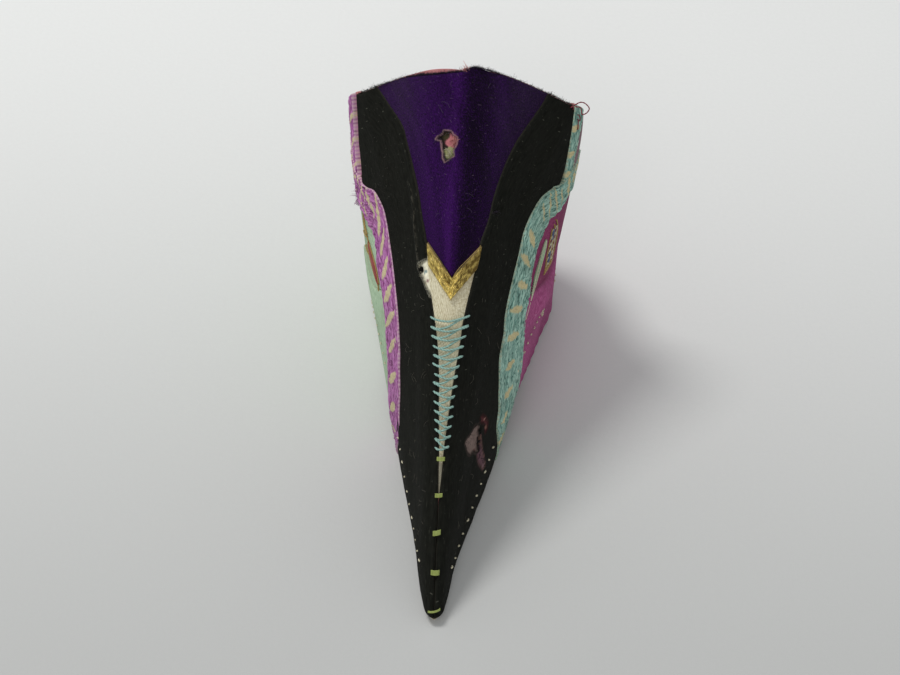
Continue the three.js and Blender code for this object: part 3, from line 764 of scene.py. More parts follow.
def velvetFinish():
    # from deep to pale by an attribute that carries the nap's uneven tone with painted light and shade, and
    # by its tufts; a greyer painted sheen lies in flecks
    made, tree, shader, vector = newFinish("Purple velvet")
    nap = noise(tree, stretched(tree, vector, 0.9, 2.2), 2.2, 4.0, 0.75)
    fleck = noise(tree, vector, 4.5, 2.0, 0.65)
    tuft = times(tree, minus(tree, between(tree, nap, 0.36, 0.64), 0.45), 0.85)
    amount = plus(tree, attribute(tree, "pile"), tuft, clamp=True)
    colour = mixColour(tree, amount, velvetShades["deep"], velvetShades["pale"])
    bloom = times(tree, attribute(tree, "bloom"), between(tree, fleck, 0.42, 0.62))
    colour = mixColour(tree, bloom, colour, velvetShades["bloom"])
    colour = rubbed(tree, colour, vector, 0.35, 0.5, velvetShades["rubbed"])
    specks = useGroup(tree, "lint", stretched(tree, vector, 1.5, 1.5), {"Amount": 0.62})
    colour = tinted(tree, colour, specks, 0.4, velvetShades["lint"])
    shader.inputs["Sheen Weight"].default_value = 0.05
    shader.inputs["Sheen Roughness"].default_value = 0.4
    shader.inputs["Sheen Tint"].default_value = velvetShades["sheen"]
    height = plus(tree, nap, times(tree, fleck, 0.6))
    finishWith(tree, shader, bared(tree, colour), 0.95, 0.1, height, 1.0, 0.3)
    return made


giltShades = {"dull": srgb(104, 82, 28), "bright": srgb(222, 196, 108), "flaked": srgb(104, 84, 52),
              "rubbed": srgb(206, 184, 136)}


def gildedFinish():
    # dull speckled gilt, with painted highlights where it is crumpled near the ridge and painted light and
    # shade on its two arms, read from an attribute
    made, tree, shader, vector = newFinish("Gilt paper")
    crinkle = noise(tree, vector, 0.8, 4.0, 0.66)
    flake = noise(tree, vector, 2.6, 3.0, 0.7)
    giltLightShare = times(tree, attribute(tree, "fold"), 0.55)
    tone = plus(tree, between(tree, crinkle, 0.34, 0.68), giltLightShare, clamp=True)
    colour = mixColour(tree, tone, giltShades["dull"], giltShades["bright"])
    colour = tinted(tree, colour, between(tree, flake, 0.64, 0.76), 0.6, giltShades["flaked"])
    colour = rubbed(tree, colour, vector, 0.3, 0.6, giltShades["rubbed"])
    shader.inputs["Metallic"].default_value = 0.6
    roughness = between(tree, crinkle, 0.3, 0.7, 0.46, 0.3)
    finishWith(tree, shader, colour, roughness, 0.5, crinkle, 1.0, 0.3)
    return made


# Each ribbon's name, its deep and pale shade, its shadow, its spots and its beaded edge
ribbonColours = {
    "teal": ("Teal ribbon", srgb(68, 124, 114), srgb(184, 222, 206), srgb(36, 70, 64), srgb(222, 208, 160),
             srgb(176, 186, 160)),
    "rose": ("Magenta ribbon", srgb(132, 40, 120), srgb(210, 142, 202), srgb(82, 24, 70), srgb(222, 210, 168),
             srgb(222, 190, 200)),
}


def ribbonFinish(name, deep, pale, shadow, spot, picot, turned=False):
    # woven ribbon: wavy floats from a deep to a pale shade, satin spots, and a beaded edge;
    # where it is turned, the floats run across the piece's own length
    made, tree, shader, vector = newFinish(name)
    if turned:
        parts = axes(tree, vector)
        vector = addNode(tree, "ShaderNodeCombineXYZ", {0: parts[1], 1: parts[0]}).outputs[0]
    wave = addNode(tree, "ShaderNodeCombineXYZ", {1: times(tree, noise(tree, vector, 0.45, 1.0), 1.6)})
    bent = addNode(tree, "ShaderNodeVectorMath", {0: vector, 1: wave.outputs[0]},
                   operation="ADD").outputs[0]
    streak = noise(tree, stretched(tree, bent, 0.42, 2.1), 1.0, 3.0, 0.6)
    fine = noise(tree, stretched(tree, bent, 0.6, 3.8), 1.0, 2.0, 0.6)
    strand = plus(tree, times(tree, between(tree, streak, 0.40, 0.60), 0.46),
                  times(tree, between(tree, fine, 0.40, 0.60), 0.54))
    tone = calc(tree, "MULTIPLY_ADD", attribute(tree, "tone"), 0.5, -0.16, clamp=True)
    tone = plus(tree, tone, times(tree, strand, 0.85), clamp=True)
    colour = mixColour(tree, tone, deep, pale)
    # painted shade: darker towards the shadow shade in the grooves and in the dips between the fine strands
    dip = times(tree, between(tree, fine, 0.44, 0.36), 0.75)
    colour = mixColour(tree, calc(tree, "MAXIMUM", attribute(tree, "groove"), dip), colour, shadow)
    fleck = noise(tree, vector, 3.2, 3.0, 0.7)
    spotShadow = mixColour(tree, 0.3, spot, shadow)
    spotColour = mixColour(tree, between(tree, fleck, 0.35, 0.7), spot, spotShadow)
    colour = mixColour(tree, attribute(tree, "spot"), colour, spotColour)
    colour = bared(tree, mixColour(tree, attribute(tree, "picot"), colour, picot))
    dirt = useGroup(tree, "soil", objectPlace(tree), {"Scale": 110.0})
    colour = tinted(tree, colour, dirt, 0.18, srgb(92, 84, 66))
    height = plus(tree, streak, times(tree, fleck, 0.5))
    finishWith(tree, shader, colour, 0.7, 0.3, height, 0.9, 0.2)
    return made


# The carried solids: name, dark and light shade, scale of the soil, roughness, relief in mm
solidPlans = {
    "sole": ("Sole cotton", srgb(138, 124, 98), srgb(196, 184, 158), 0.12, 0.95, 0.15),
    "heel": ("Heel cloth", srgb(96, 78, 60), srgb(150, 126, 98), 0.1, 0.9, 0.12),
    "insole": ("Insole cotton", srgb(150, 132, 106), srgb(206, 190, 160), 0.1, 0.95, 0.12),
}


def plainFinish(name, dark, light, scale, roughness, relief):
    # woven and soiled, on object coordinates turned into mm
    made, tree, shader = newMaterial(name)
    metric = stretched(tree, objectPlace(tree), 1000, 1000, 1000)
    weave = useGroup(tree, "weave", metric, {"Pitch": 0.55, "Slant": 0.0})
    dirt = useGroup(tree, "soil", metric, {"Scale": scale})
    colour = tinted(tree, mixColour(tree, dirt, light, dark), weave, 0.25, dark)
    finishWith(tree, shader, colour, roughness, 0.2, plus(tree, weave, dirt), 0.7, relief)
    return made


# The threads: name, dark and light shade, and a roughness where it is not the usual one
threadPlans = {
    "laceThread": ("Pale blue thread", srgb(96, 132, 124), srgb(170, 206, 196)),
    "tackThread": ("Yellow green thread", srgb(112, 124, 56), srgb(178, 190, 112)),
    "creamThread": ("Cream thread", srgb(176, 168, 138), srgb(232, 226, 200)),
    "redThread": ("Dark red thread", srgb(92, 26, 40), srgb(150, 60, 74)),
    "goldThread": ("Gold couching", srgb(118, 92, 48), srgb(190, 160, 96), 0.5),
    "leafThread": ("Leaf silk", srgb(96, 160, 126), srgb(190, 226, 186), 0.5),
    "coralThread": ("Coral silk", srgb(122, 40, 44), srgb(176, 84, 76), 0.5),
    "blueThread": ("Blue silk", srgb(60, 74, 108), srgb(116, 130, 158), 0.5),
    "fuzz": ("Dark fuzz", srgb(26, 20, 32), srgb(64, 52, 72)),
    "blackFuzz": ("Black fuzz", srgb(16, 16, 14), srgb(52, 50, 44)),
    "greyFibre": ("Grey fibre", srgb(62, 50, 68), srgb(100, 88, 104)),
    "dustFibre": ("Dust fibre", srgb(70, 68, 60), srgb(120, 116, 104)),
    "pinkFibre": ("Pink fibre", srgb(190, 112, 112), srgb(230, 168, 164)),
    "roseThread": ("Magenta silk", srgb(118, 44, 104), srgb(196, 132, 184)),
}


def threadFinish(name, dark, light, roughness=0.65):
    # twisted strands: a sine of the way along the thread plus the way round it
    made, tree, shader, vector = newFinish(name)
    parts = axes(tree, vector)
    lay = plus(tree, times(tree, parts[0], 9.0), times(tree, parts[1], 10.0))
    strand = plus(tree, times(tree, calc(tree, "SINE", lay), 0.5), 0.5)
    patchy = noise(tree, objectPlace(tree), 900.0, 3.0)
    tone = plus(tree, times(tree, strand, 0.45), times(tree, patchy, 0.6), clamp=True)
    finishWith(tree, shader, mixColour(tree, tone, dark, light), roughness, 0.3, strand, 0.6, 0.06)
    return made


finishes = {
    **{key: ribbonFinish(*plan) for key, plan in ribbonColours.items()},
    **{key + "Down": ribbonFinish(*plan, turned=True) for key, plan in ribbonColours.items()},
    **{key: clothFinish(plan) for key, plan in clothPlans.items()},
    "velvet": velvetFinish(),
    "gilt": gildedFinish(),
    **{key: plainFinish(*plan) for key, plan in solidPlans.items()},
    **{key: threadFinish(*plan) for key, plan in threadPlans.items()},
}
print("stage: finishes made")

# Camera, floor and light
view = {
    "pitch": 41.0, "turn": 2.7, "roll": -1.6, "lens": 120.0, "sensor": 36.0, "distance": 658.0,
    "photoWidth": 900, "axisAt": (303.0, 337.5), "toeAt": (284.0, 621.5), "toeHeight": 1.4,
}


def placeCamera():
    # the camera looks down by the pitch; its place keeps the toe's tip at its spot in the frame
    pitch, turn, roll = (math.radians(view[k]) for k in ("pitch", "turn", "roll"))
    flatRight = np.array([math.cos(turn), math.sin(turn), 0])
    ahead = np.array([-math.sin(turn) * math.cos(pitch), math.cos(turn) * math.cos(pitch),
                      -math.sin(pitch)])
    flatUp = np.cross(flatRight, ahead)
    right = flatRight * math.cos(roll) - flatUp * math.sin(roll)
    up = flatUp * math.cos(roll) + flatRight * math.sin(roll)
    perPixel = view["distance"] * view["sensor"] / view["lens"] / view["photoWidth"]
    toe = np.array([0, shoe["backShift"], view["toeHeight"]])
    aside = (view["toeAt"][0] - view["axisAt"][0]) * perPixel
    below = (view["toeAt"][1] - view["axisAt"][1]) * perPixel
    at = toe - ahead * view["distance"] - right * aside + up * below
    data = bpy.data.cameras.new("camera")
    data.lens, data.sensor_width, data.clip_start, data.clip_end = view["lens"], view["sensor"], 0.01, 50
    camera = bpy.data.objects.new("camera", data)
    matrix = np.eye(4)
    matrix[:3, 0], matrix[:3, 1], matrix[:3, 2], matrix[:3, 3] = right, up, -ahead, at * mm
    camera.matrix_world = Matrix(matrix.tolist())
    bpy.context.scene.collection.objects.link(camera)
    bpy.context.scene.camera = camera


placeCamera()

# The floor's near and far shades are a painted fall-off of the light, darker towards the camera
studio = {
    "floorHalf": 3.0, "floorShadedNear": srgb(192, 193, 192), "floorLitFar": srgb(244, 245, 244),
    "floorLightFade": (-0.14, 0.20), "speckle": srgb(186, 187, 186),
    "world": (0.97, 0.99, 1.0, 1), "worldStrength": 0.46,
    "lights": [
        # name, place, what it faces, size in metres, watts, colour
        ("key", (-0.40, 0.15, 1.02), (0, 0, 0.03), 0.34, 5.0, (1.0, 0.99, 0.97)),
        ("front", (-0.15, -1.4, 1.1), (0, 0, 0.03), 0.8, 4.6, (1.0, 0.98, 0.96)),
    ],
}


def buildStudio():
    # a floor painted from a darker near end to a lighter far end, a painted fall-off of the light; an even
    # sky, and the lamps of the list
    scene = bpy.context.scene
    scene.view_settings.view_transform = "Standard"
    half = studio["floorHalf"]
    corners = [(-half, -half, 0), (half, -half, 0), (half, half, 0), (-half, half, 0)]
    data = bpy.data.meshes.new("floor")
    data.from_pydata(corners, [], [(0, 1, 2, 3)])
    floor = bpy.data.objects.new("floor", data)
    scene.collection.objects.link(floor)
    made, tree, shader = newMaterial("Pale floor")
    where = objectPlace(tree)
    speckle = noise(tree, where, 900.0, 3.0, 0.7)
    share = between(tree, axes(tree, where)[1], *studio["floorLightFade"])
    colour = mixColour(tree, share, studio["floorShadedNear"], studio["floorLitFar"])
    colour = tinted(tree, colour, speckle, 0.12, studio["speckle"])
    finishWith(tree, shader, colour, 0.85, 0.2, speckle, 0.25, 0.2)
    data.materials.append(made)
    world = bpy.data.worlds.new("studio")
    world.use_nodes = True
    world.node_tree.nodes["Background"].inputs[0].default_value = studio["world"]
    world.node_tree.nodes["Background"].inputs[1].default_value = studio["worldStrength"]
    scene.world = world
    for name, at, aim, size, watts, colour in studio["lights"]:
        lamp = bpy.data.lights.new(name, "AREA")
        lamp.shape, lamp.size, lamp.energy, lamp.color = "DISK", size, watts, colour
        holder = bpy.data.objects.new(name, lamp)
        holder.location = at
        holder.rotation_euler = (Vector(aim) - Vector(at)).to_track_quat("-Z", "Y").to_euler()
        scene.collection.objects.link(holder)


buildStudio()
print("stage: camera, floor and lights placed")

# What is torn or rubbed through: outlines as rib and rise, what shows inside, with some painted shade and a
# painted highlight, and how deep it lies
holes = {
    "velvet": [
        {"centre": (-0.045, 0.858), "deep": 0.75, "rim": srgb(186, 150, 148),
         "corners": [(-0.057, 0.886), (-0.034, 0.886), (-0.027, 0.879), (-0.012, 0.876), (-0.012, 0.864),
                     (-0.022, 0.853), (-0.020, 0.842), (-0.034, 0.836), (-0.050, 0.828), (-0.056, 0.835),
                     (-0.057, 0.845), (-0.062, 0.856), (-0.066, 0.868), (-0.082, 0.869), (-0.075, 0.874),
                     (-0.060, 0.879)],
         "inside": srgb(44, 38, 34),
         "patches": [((-0.028, 0.869), 2.1, srgb(206, 128, 134)), ((-0.018, 0.871), 1.2, srgb(214, 140, 142)),
                     ((-0.036, 0.847), 1.7, srgb(168, 170, 122)), ((-0.052, 0.876), 1.2, srgb(72, 66, 46))]},
    ],
    "right": [
        # a slit between the flap and the strip, painted near black for the shade inside it
        {"centre": (0.21, 0.25), "deep": 0.6, "rim": srgb(8, 8, 7),
         "corners": [(0.199, 0.283), (0.206, 0.280), (0.207, 0.262), (0.214, 0.245), (0.225, 0.226),
                     (0.219, 0.225), (0.208, 0.246), (0.200, 0.262)],
         "inside": srgb(8, 7, 7), "patches": []},
        {"centre": (0.165, 0.275), "deep": 0.4, "rim": srgb(14, 13, 12),
         "corners": [(0.190, 0.297), (0.198, 0.283), (0.197, 0.275), (0.200, 0.262), (0.208, 0.247),
                     (0.220, 0.223), (0.205, 0.230), (0.187, 0.245), (0.164, 0.252), (0.140, 0.270),
                     (0.117, 0.297), (0.118, 0.303), (0.143, 0.303), (0.163, 0.308)],
         "inside": srgb(128, 110, 104), "patches": [((0.196, 0.240), 0.8, srgb(120, 84, 80))]},
        {"centre": (0.24, 0.2), "deep": 0.2, "rim": srgb(128, 98, 88),
         "corners": [(0.211, 0.262), (0.216, 0.258), (0.237, 0.219), (0.259, 0.185), (0.288, 0.139),
                     (0.274, 0.142), (0.247, 0.172), (0.223, 0.202), (0.212, 0.224), (0.224, 0.226)],
         "inside": srgb(104, 76, 84), "patches": [((0.272, 0.150), 1.0, srgb(150, 118, 122)),
                                                  ((0.250, 0.195), 0.6, srgb(176, 140, 120)),
                                                  ((0.232, 0.200), 0.8, srgb(60, 34, 44))]},
        {"centre": (0.225, 0.28), "deep": 0.3, "rim": srgb(52, 34, 32),
         "corners": [(0.192, 0.311), (0.206, 0.308), (0.230, 0.288), (0.246, 0.268), (0.250, 0.252),
                     (0.243, 0.246), (0.233, 0.260), (0.231, 0.273), (0.216, 0.286), (0.200, 0.296)],
         # the pale second patch is a painted highlight on the torn cloth
         "inside": srgb(84, 46, 48), "patches": [((0.243, 0.258), 0.8, srgb(140, 106, 92)),
                                                  ((0.222, 0.292), 0.6, srgb(206, 160, 148))]},
    ],
    "left": [
        {"centre": (-0.1, 0.615), "deep": 0.5, "rim": srgb(16, 15, 13),
         "corners": [(-0.070, 0.652), (-0.090, 0.645), (-0.104, 0.640), (-0.122, 0.633), (-0.137, 0.626),
                     (-0.134, 0.620), (-0.124, 0.614), (-0.114, 0.604), (-0.104, 0.596), (-0.092, 0.588),
                     (-0.080, 0.578), (-0.060, 0.575), (-0.055, 0.62)],
         "inside": srgb(236, 232, 210),
         # the near black patch is painted shade in the hole at the satin's tip
         "patches": [((-0.106, 0.617), 0.8, srgb(138, 158, 156)), ((-0.127, 0.620), 1.0, srgb(10, 9, 8)),
                     ((-0.096, 0.603), 0.7, srgb(170, 140, 134))]},
    ],
}


def openHoles(grid, places, lift):
    # inside each outline the cloth is gone: the face drops, and the colour is what lies beneath, darkened
    # just inside the edge as painted shade
    bare = np.zeros(grid["rib"].shape)
    colour = np.zeros((*bare.shape, 4))
    for hole in places:
        centre = hole["centre"]
        points = toLocal(centre, grid["rib"], grid["rise"])
        corners = toLocal(centre, *np.array(hole["corners"]).T)
        back, up = points[..., 0], points[..., 1]
        gone = outlineDistance(points, corners) + uneven(0.35, back * 2.1 + 31, up * 2.1 + 17, 5)
        inside = ease(-gone, -0.03, 0.07)
        rim = bump(gone - 0.12, 0.2)
        shade = layered(back * 1.7 + 11, up * 1.7 + 3, 6)[..., None]
        here = np.array(hole["inside"]) * (0.55 + 0.9 * shade)
        for at, reach, tint in hole["patches"]:
            away = np.linalg.norm(points - toLocal(centre, *np.array(at)), axis=-1)
            away = away + 1.2 * (shade[..., 0] - 0.5)
            here = mix(here, np.array(tint) * (0.7 + 0.6 * shade), ease(reach - away, 0, 0.5)[..., None])
        here = mix(here, np.array(hole["rim"]), (rim * (1 - inside))[..., None])
        edgeShade = ease(-gone, 0.5, 0.0)[..., None] * inside[..., None]
        here = here * (1 - 0.55 * edgeShade)
        mask = np.maximum(inside, 0.7 * rim)
        colour = np.where(mask[..., None] > bare[..., None], here, colour)
        bare = np.maximum(bare, mask)
        lift = lift + 0.16 * rim - inside * (hole["deep"] - 0.25 * shade[..., 0])
    colour[..., 3] = 1
    return lift, {"bare": bare, "bareColour": colour}


# Creases, listed one by one: a side, the line they follow as ribs and rises, their width and height
creases = [
    (-1, (-0.178, -0.160, -0.152, -0.142, -0.137), (0.787, 0.740, 0.690, 0.657, 0.633), 0.55, 0.30),
    (-1, (-0.196, -0.178, -0.168, -0.158, -0.150), (0.787, 0.740, 0.690, 0.657, 0.633), 0.9, -0.16),
    (-1, (-0.30, -0.25, -0.21, -0.20), (0.96, 0.84, 0.70, 0.60), 2.6, -0.22),
    (-1, (-0.37, -0.32, -0.28), (0.97, 0.86, 0.76), 2.0, 0.22),
    (-1, (-0.16, -0.15, -0.16), (0.55, 0.42, 0.30), 2.4, -0.20),
    (-1, (-0.06, -0.07, -0.09), (0.40, 0.26, 0.12), 1.5, 0.16),
    (-1, (-0.29, -0.22, -0.13), (0.20, 0.10, 0.06), 4.5, 0.5),
    (1, (0.34, 0.27, 0.21, 0.18), (0.95, 0.84, 0.70, 0.58), 1.8, -0.24),
    (1, (0.38, 0.32, 0.26), (0.93, 0.84, 0.74), 1.6, 0.20),
    (1, (0.18, 0.15, 0.13), (0.66, 0.52, 0.40), 2.6, 0.24),
    (1, (0.12, 0.10, 0.08), (0.46, 0.34, 0.24), 1.6, -0.18),
    (1, (0.14, 0.140, 0.16), (0.738, 0.735, 0.742), 0.5, -0.35),
    (1, (0.20, 0.19, 0.22), (0.24, 0.14, 0.06), 1.4, -0.16),
]


def creased(grid, side):
    # a low wave plus each crease's height times a bell of the distance to its line
    total = uneven(0.34, grid["along"] * 0.08 + 3, grid["across"] * 0.16 + side * 5, 11)
    for where, ribs, rises, width, height in creases:
        if where == side:
            total = total + height * bump(pathDistance(grid["flat"], ribs, rises), width)
    return total


vamp = {"size": (440, 120), "top": 0.0, "roll": 0.5, "tuck": 0.16, "scuffed": srgb(92, 88, 78),
        "hem": 0.16, "hemAt": 0.8, "hemWidth": 0.6, "groove": 0.08, "grooveAt": 2.1, "grooveWidth": 0.35,
        "pucker": 0.05, "puckerAt": 1.4, "puckerWidth": 1.1}


def vampRelief(side):
    # creases, a hem with a groove inside it, puckers along the hem, then the holes
    def relief(grid):
        along, across = grid["along"], grid["across"]
        hem = vamp["hem"] * bump(across - vamp["hemAt"], vamp["hemWidth"])
        hem = hem - vamp["groove"] * bump(across - vamp["grooveAt"], vamp["grooveWidth"])
        pucker = vamp["pucker"] * np.sin(along * 2.1 + 2 * softNoise(along * 0.3, 0 * along, 21))
        lift = creased(grid, side) + hem + pucker * bump(across - vamp["puckerAt"], vamp["puckerWidth"])
        lift, layers = openHoles(grid, holes["left" if side < 0 else "right"], lift)
        if side < 0:
            _, ribs, rises, _, _ = creases[0]
            frayed = ease(layered(along * 1.2, across * 2.5, 14), 0.42, 0.62)
            scuff = 0.5 * bump(pathDistance(grid["flat"], ribs, rises), 0.4) * frayed
            scuffed = (scuff > layers["bare"])[..., None]
            layers["bareColour"] = np.where(scuffed, vamp["scuffed"], layers["bareColour"])
            layers["bare"] = np.maximum(layers["bare"], scuff)
        return lift, layers
    return relief


def lineSpot(side, first, second, tuck=0.0, start=0.0):
    # between two edges, each a smooth curve through its rows of rib and rise
    one, two = smoothRows(first), smoothRows(second)

    def spot(u, v):
        (ribA, riseA), (ribB, riseB) = one(u), two(u)
        t = mix(-start, 1 + tuck, v)
        rib = np.maximum(0, mix(ribA, ribB, t))
        return side * rib, np.clip(mix(riseA, riseB, t), 0, 1)
    return spot


for side, hand in hands:
    inner, ribbon, _ = sideCurves(side)
    clothPiece(f"blackVamp_{hand}", lineSpot(side, inner, ribbon, vamp["tuck"]), vamp["size"], "black",
               f"vamp_{hand}", top=vamp["top"], bottom=shoe["panelDepth"],
               roll=vamp["roll"], relief=vampRelief(side), crowd=(0.3, 0.75))
print("stage: black vamps made")


# The pieces that cross the front ridge
def frontSpot(rows, spill=1.0):
    # across runs from -1 to 1: the rib grows with it, and the rise goes from the ridge to the edge
    columns = smoothRows(rows)

    def spot(u, v):
        ridge, rib, rise = columns(u)
        across = (2 * v - 1) * spill
        return across * rib, np.clip(ridge + (rise - ridge) * np.abs(across), 0, 1)
    return spot


velvet = {"size": (300, 232), "top": 0.5, "bottom": 0.95, "roll": 0.45, "spill": 1.07, "crown": 0.46,
          "crease": 0.28, "tuck": 0.14, "sag": 0.008}


def velvetRelief(grid):
    # a crown between the edges, a crease on the ridge, and noise; the nap's tone, painted light and shade,
    # and painted sheen lie in bands
    along, across = grid["along"], grid["across"]
    fromRidge = across - grid["width"] / 2
    low = ease(grid["u"], 0.1, 0.9)
    # painted light in a band left of the ridge, painted shade to its right, and fainter painted bands further
    # out, over the nap's uneven tone
    wander = uneven(0.8, along * 0.12, 0 * across, 30)
    pile = 0.30 + 0.46 * bump(fromRidge + 1.5 + wander, 1.7) * (0.45 + 0.55 * low)
    pile = pile - 0.24 * bump(fromRidge - 3.6, 3.6) + 0.14 * bump(fromRidge - 9.5, 2.2) * (1 - low)
    pile = pile - 0.13 * ease(fromRidge, 0, 2) + 0.12 * bump(fromRidge + 8, 4)
    pile = pile + uneven(0.30, along * 0.06, across * 0.9, 31)
    # painted sheen, greyer and stronger away from the ridge where the velvet turns from the view, broken up
    # by noise
    bloom = 0.30 * ease(np.abs(fromRidge + 1), 4, 16) * (1 - 0.5 * low) + 0.05
    bloom = bloom * (0.4 + 1.2 * layered(along * 0.09 + 7, across * 0.35, 33))
    edges = np.minimum(across, grid["width"] - across)
    lift = velvet["crown"] * ease(edges, 1.6, 7.0) + velvet["crease"] * bump(fromRidge + 0.8, 0.8)
    lift = lift - 0.12 * bump(fromRidge - 3.2, 2.2) - 0.14 * bump(fromRidge + 4.4, 2.6)
    lift = lift + uneven(0.34, along * 0.07, across * 0.13, 35)
    lift = lift + uneven(0.10, along * 0.15, across * 0.9, 37)
    lift = lift + uneven(0.10, along * 1.9, across * 1.9, 36)
    lift = lift + velvet["tuck"] * bump(fromRidge + 8.5, 1.3) * bump(along - 12, 9)
    lift, layers = openHoles(grid, holes["velvet"], lift)
    return lift, {**layers, "pile": pile, "bloom": bloom}


plainVelvet = frontSpot(velvetLines, velvet["spill"])


def velvetSpot(u, v):
    # the top edge sags left of the ridge, where the lining shows above it, and stands up right of it
    rib, rise = plainVelvet(u, v)
    wave = velvet["sag"] * bump(rib - 0.035, 0.035) - velvet["sag"] * bump(rib + 0.10, 0.08)
    return rib, rise + wave * ease(rise, 0.93, 1.0)


clothPiece("velvetFront", velvetSpot, velvet["size"], "velvet", "velvet_panel",
           top=velvet["top"], bottom=velvet["bottom"], roll=velvet["roll"], relief=velvetRelief,
           crowd=(0.3, 0.3))


def sharpFolds(x, y, seed):
    # straight-sided folds: a zigzag of a slanted, wandering phase
    phase = x + 1.5 * layered(x * 0.7, y * 0.7, seed)
    return np.abs(phase % 1 - 0.5) * 2


trim = {"size": (56, 220), "top": -0.12, "roll": 0.25, "spill": 0.985, "folds": (0.40, 0.28, 0.10)}


def trimRelief(grid):
    # three sizes of folds, strongest near the ridge, and a mask of painted light and shade for the gilt's
    # colour
    fromRidge = grid["across"] - grid["width"] / 2
    along = grid["along"]
    near = bump(fromRidge, 4.5)
    broad, middling, fine = trim["folds"]
    folds = broad * sharpFolds(fromRidge * 0.30 + along * 0.26, along, 41) * near
    crossing = sharpFolds(along * 0.42 - fromRidge * 0.34, fromRidge, 43)
    folds = folds + middling * crossing * (0.15 + 0.85 * near)
    folds = folds + fine * sharpFolds(along * 0.8 + fromRidge * 0.9, along, 45) * (0.1 + 0.9 * near)
    # painted light: the left arm lighter and the right arm in painted shade, with painted highlights in
    # patches near the ridge
    sideLight = np.where(grid["rib"] < 0, 0.25, -0.55) * (1 - near)
    bright = near * ease(layered(along * 0.7, fromRidge * 0.7, 47), 0.4, 0.65) + sideLight
    return folds + uneven(0.12, along * 1.1, fromRidge * 0.8, 46), {"fold": bright}


clothPiece("goldVee", frontSpot(trimLines, trim["spill"]), trim["size"], "gilt", "gold_trim",
           top=trim["top"], bottom=shoe["panelDepth"], roll=trim["roll"], relief=trimRelief,
           crowd=(0.4, 0.0))


gore = {"size": (300, 48), "top": 0.42, "bottom": 0.98, "roll": 0.3, "spill": 1.35, "edgeDip": 0.22,
        "stain": srgb(150, 122, 88), "dull": srgb(104, 100, 88)}


def goreRelief(grid):
    # sunk along both edges, stained at the top on the right, and duller below the lacing
    along, across, width = grid["along"], grid["across"], grid["width"]
    lift = uneven(0.12, along * 0.22, across * 0.5, 51)
    lift = lift - gore["edgeDip"] * bump(across, 0.5) - gore["edgeDip"] * bump(width - across, 0.5)
    stain = ease(along, 6, 0) * ease(across - width * 0.5, 0, 3) * 0.55
    dull = 0.75 * ease(grid["rise"], 0.30, 0.27)
    colour = np.where((dull > stain)[..., None], gore["dull"], gore["stain"])
    return lift, {"bare": np.maximum(stain, dull), "bareColour": colour}


clothPiece("satinGore", frontSpot(goreLines, gore["spill"]), gore["size"], "satin", "satin_gore",
           top=gore["top"], bottom=gore["bottom"], roll=gore["roll"], relief=goreRelief,
           crowd=(0.3, 0.5))
print("stage: velvet, gold and satin made")


# Ribbons: floats run along the length, with spots and a beaded edge
ribbonPlan = {
    "size": (400, 80), "edgeBead": 0.9, "edgeWidth": 0.34, "top": -0.34, "bottom": 0.5, "roll": 0.3,
    "frayed": srgb(186, 150, 170),
    "right": {"finish": "teal", "slot": "teal_ribbon", "slant": 0.15, "long": 0.9, "wide": 2.7},
    "left": {"finish": "rose", "slot": "pink_ribbon", "slant": -0.5, "long": 0.75, "wide": 2.7},
}
# Each spot: its rib and rise, and its length and width as shares of the plan's
ribbonSpots = {
    "right": [(0.300, 0.665, 1.2, 1.1), (0.288, 0.615, 1.1, 1.0), (0.293, 0.557, 1.2, 1.0),
              (0.285, 0.503, 1.1, 1.1), (0.290, 0.440, 1.1, 1.1), (0.308, 0.362, 1.1, 1.0),
              (0.332, 0.280, 1.3, 1.0), (0.352, 0.195, 1.3, 0.9), (0.372, 0.120, 1.2, 1.0),
              (0.334, 0.720, 0.4, 1.0), (0.362, 0.735, 0.4, 1.2), (0.395, 0.742, 0.4, 1.2),
              (0.430, 0.742, 0.4, 0.9), (0.480, 0.752, 0.9, 1.0),
              (0.525, 0.790, 1.0, 1.0), (0.565, 0.850, 1.0, 1.0), (0.600, 0.930, 1.0, 1.0)],
    "left": [(0.325, 0.718, 1.3, 0.7), (0.345, 0.700, 1.1, 0.6), (0.315, 0.675, 1.7, 0.8),
             (0.302, 0.630, 1.7, 0.9), (0.297, 0.575, 1.7, 0.9), (0.290, 0.520, 1.6, 1.0),
             (0.284, 0.465, 1.5, 1.2), (0.286, 0.400, 1.5, 1.2), (0.302, 0.318, 1.6, 1.3),
             (0.330, 0.228, 1.6, 1.4), (0.362, 0.140, 1.4, 1.2), (0.375, 0.728, 0.8, 1.0),
             (0.405, 0.715, 0.5, 1.4), (0.440, 0.725, 0.6, 1.3), (0.485, 0.745, 0.9, 1.0),
             (0.525, 0.785, 1.0, 1.0), (0.565, 0.850, 1.0, 1.0), (0.600, 0.930, 1.0, 1.0)],
}
wingSpots = {
    "right": [(0.442, 0.935), (0.440, 0.860), (0.444, 0.800)],
    "left": [(0.478, 0.930), (0.476, 0.855), (0.455, 0.795)],
}


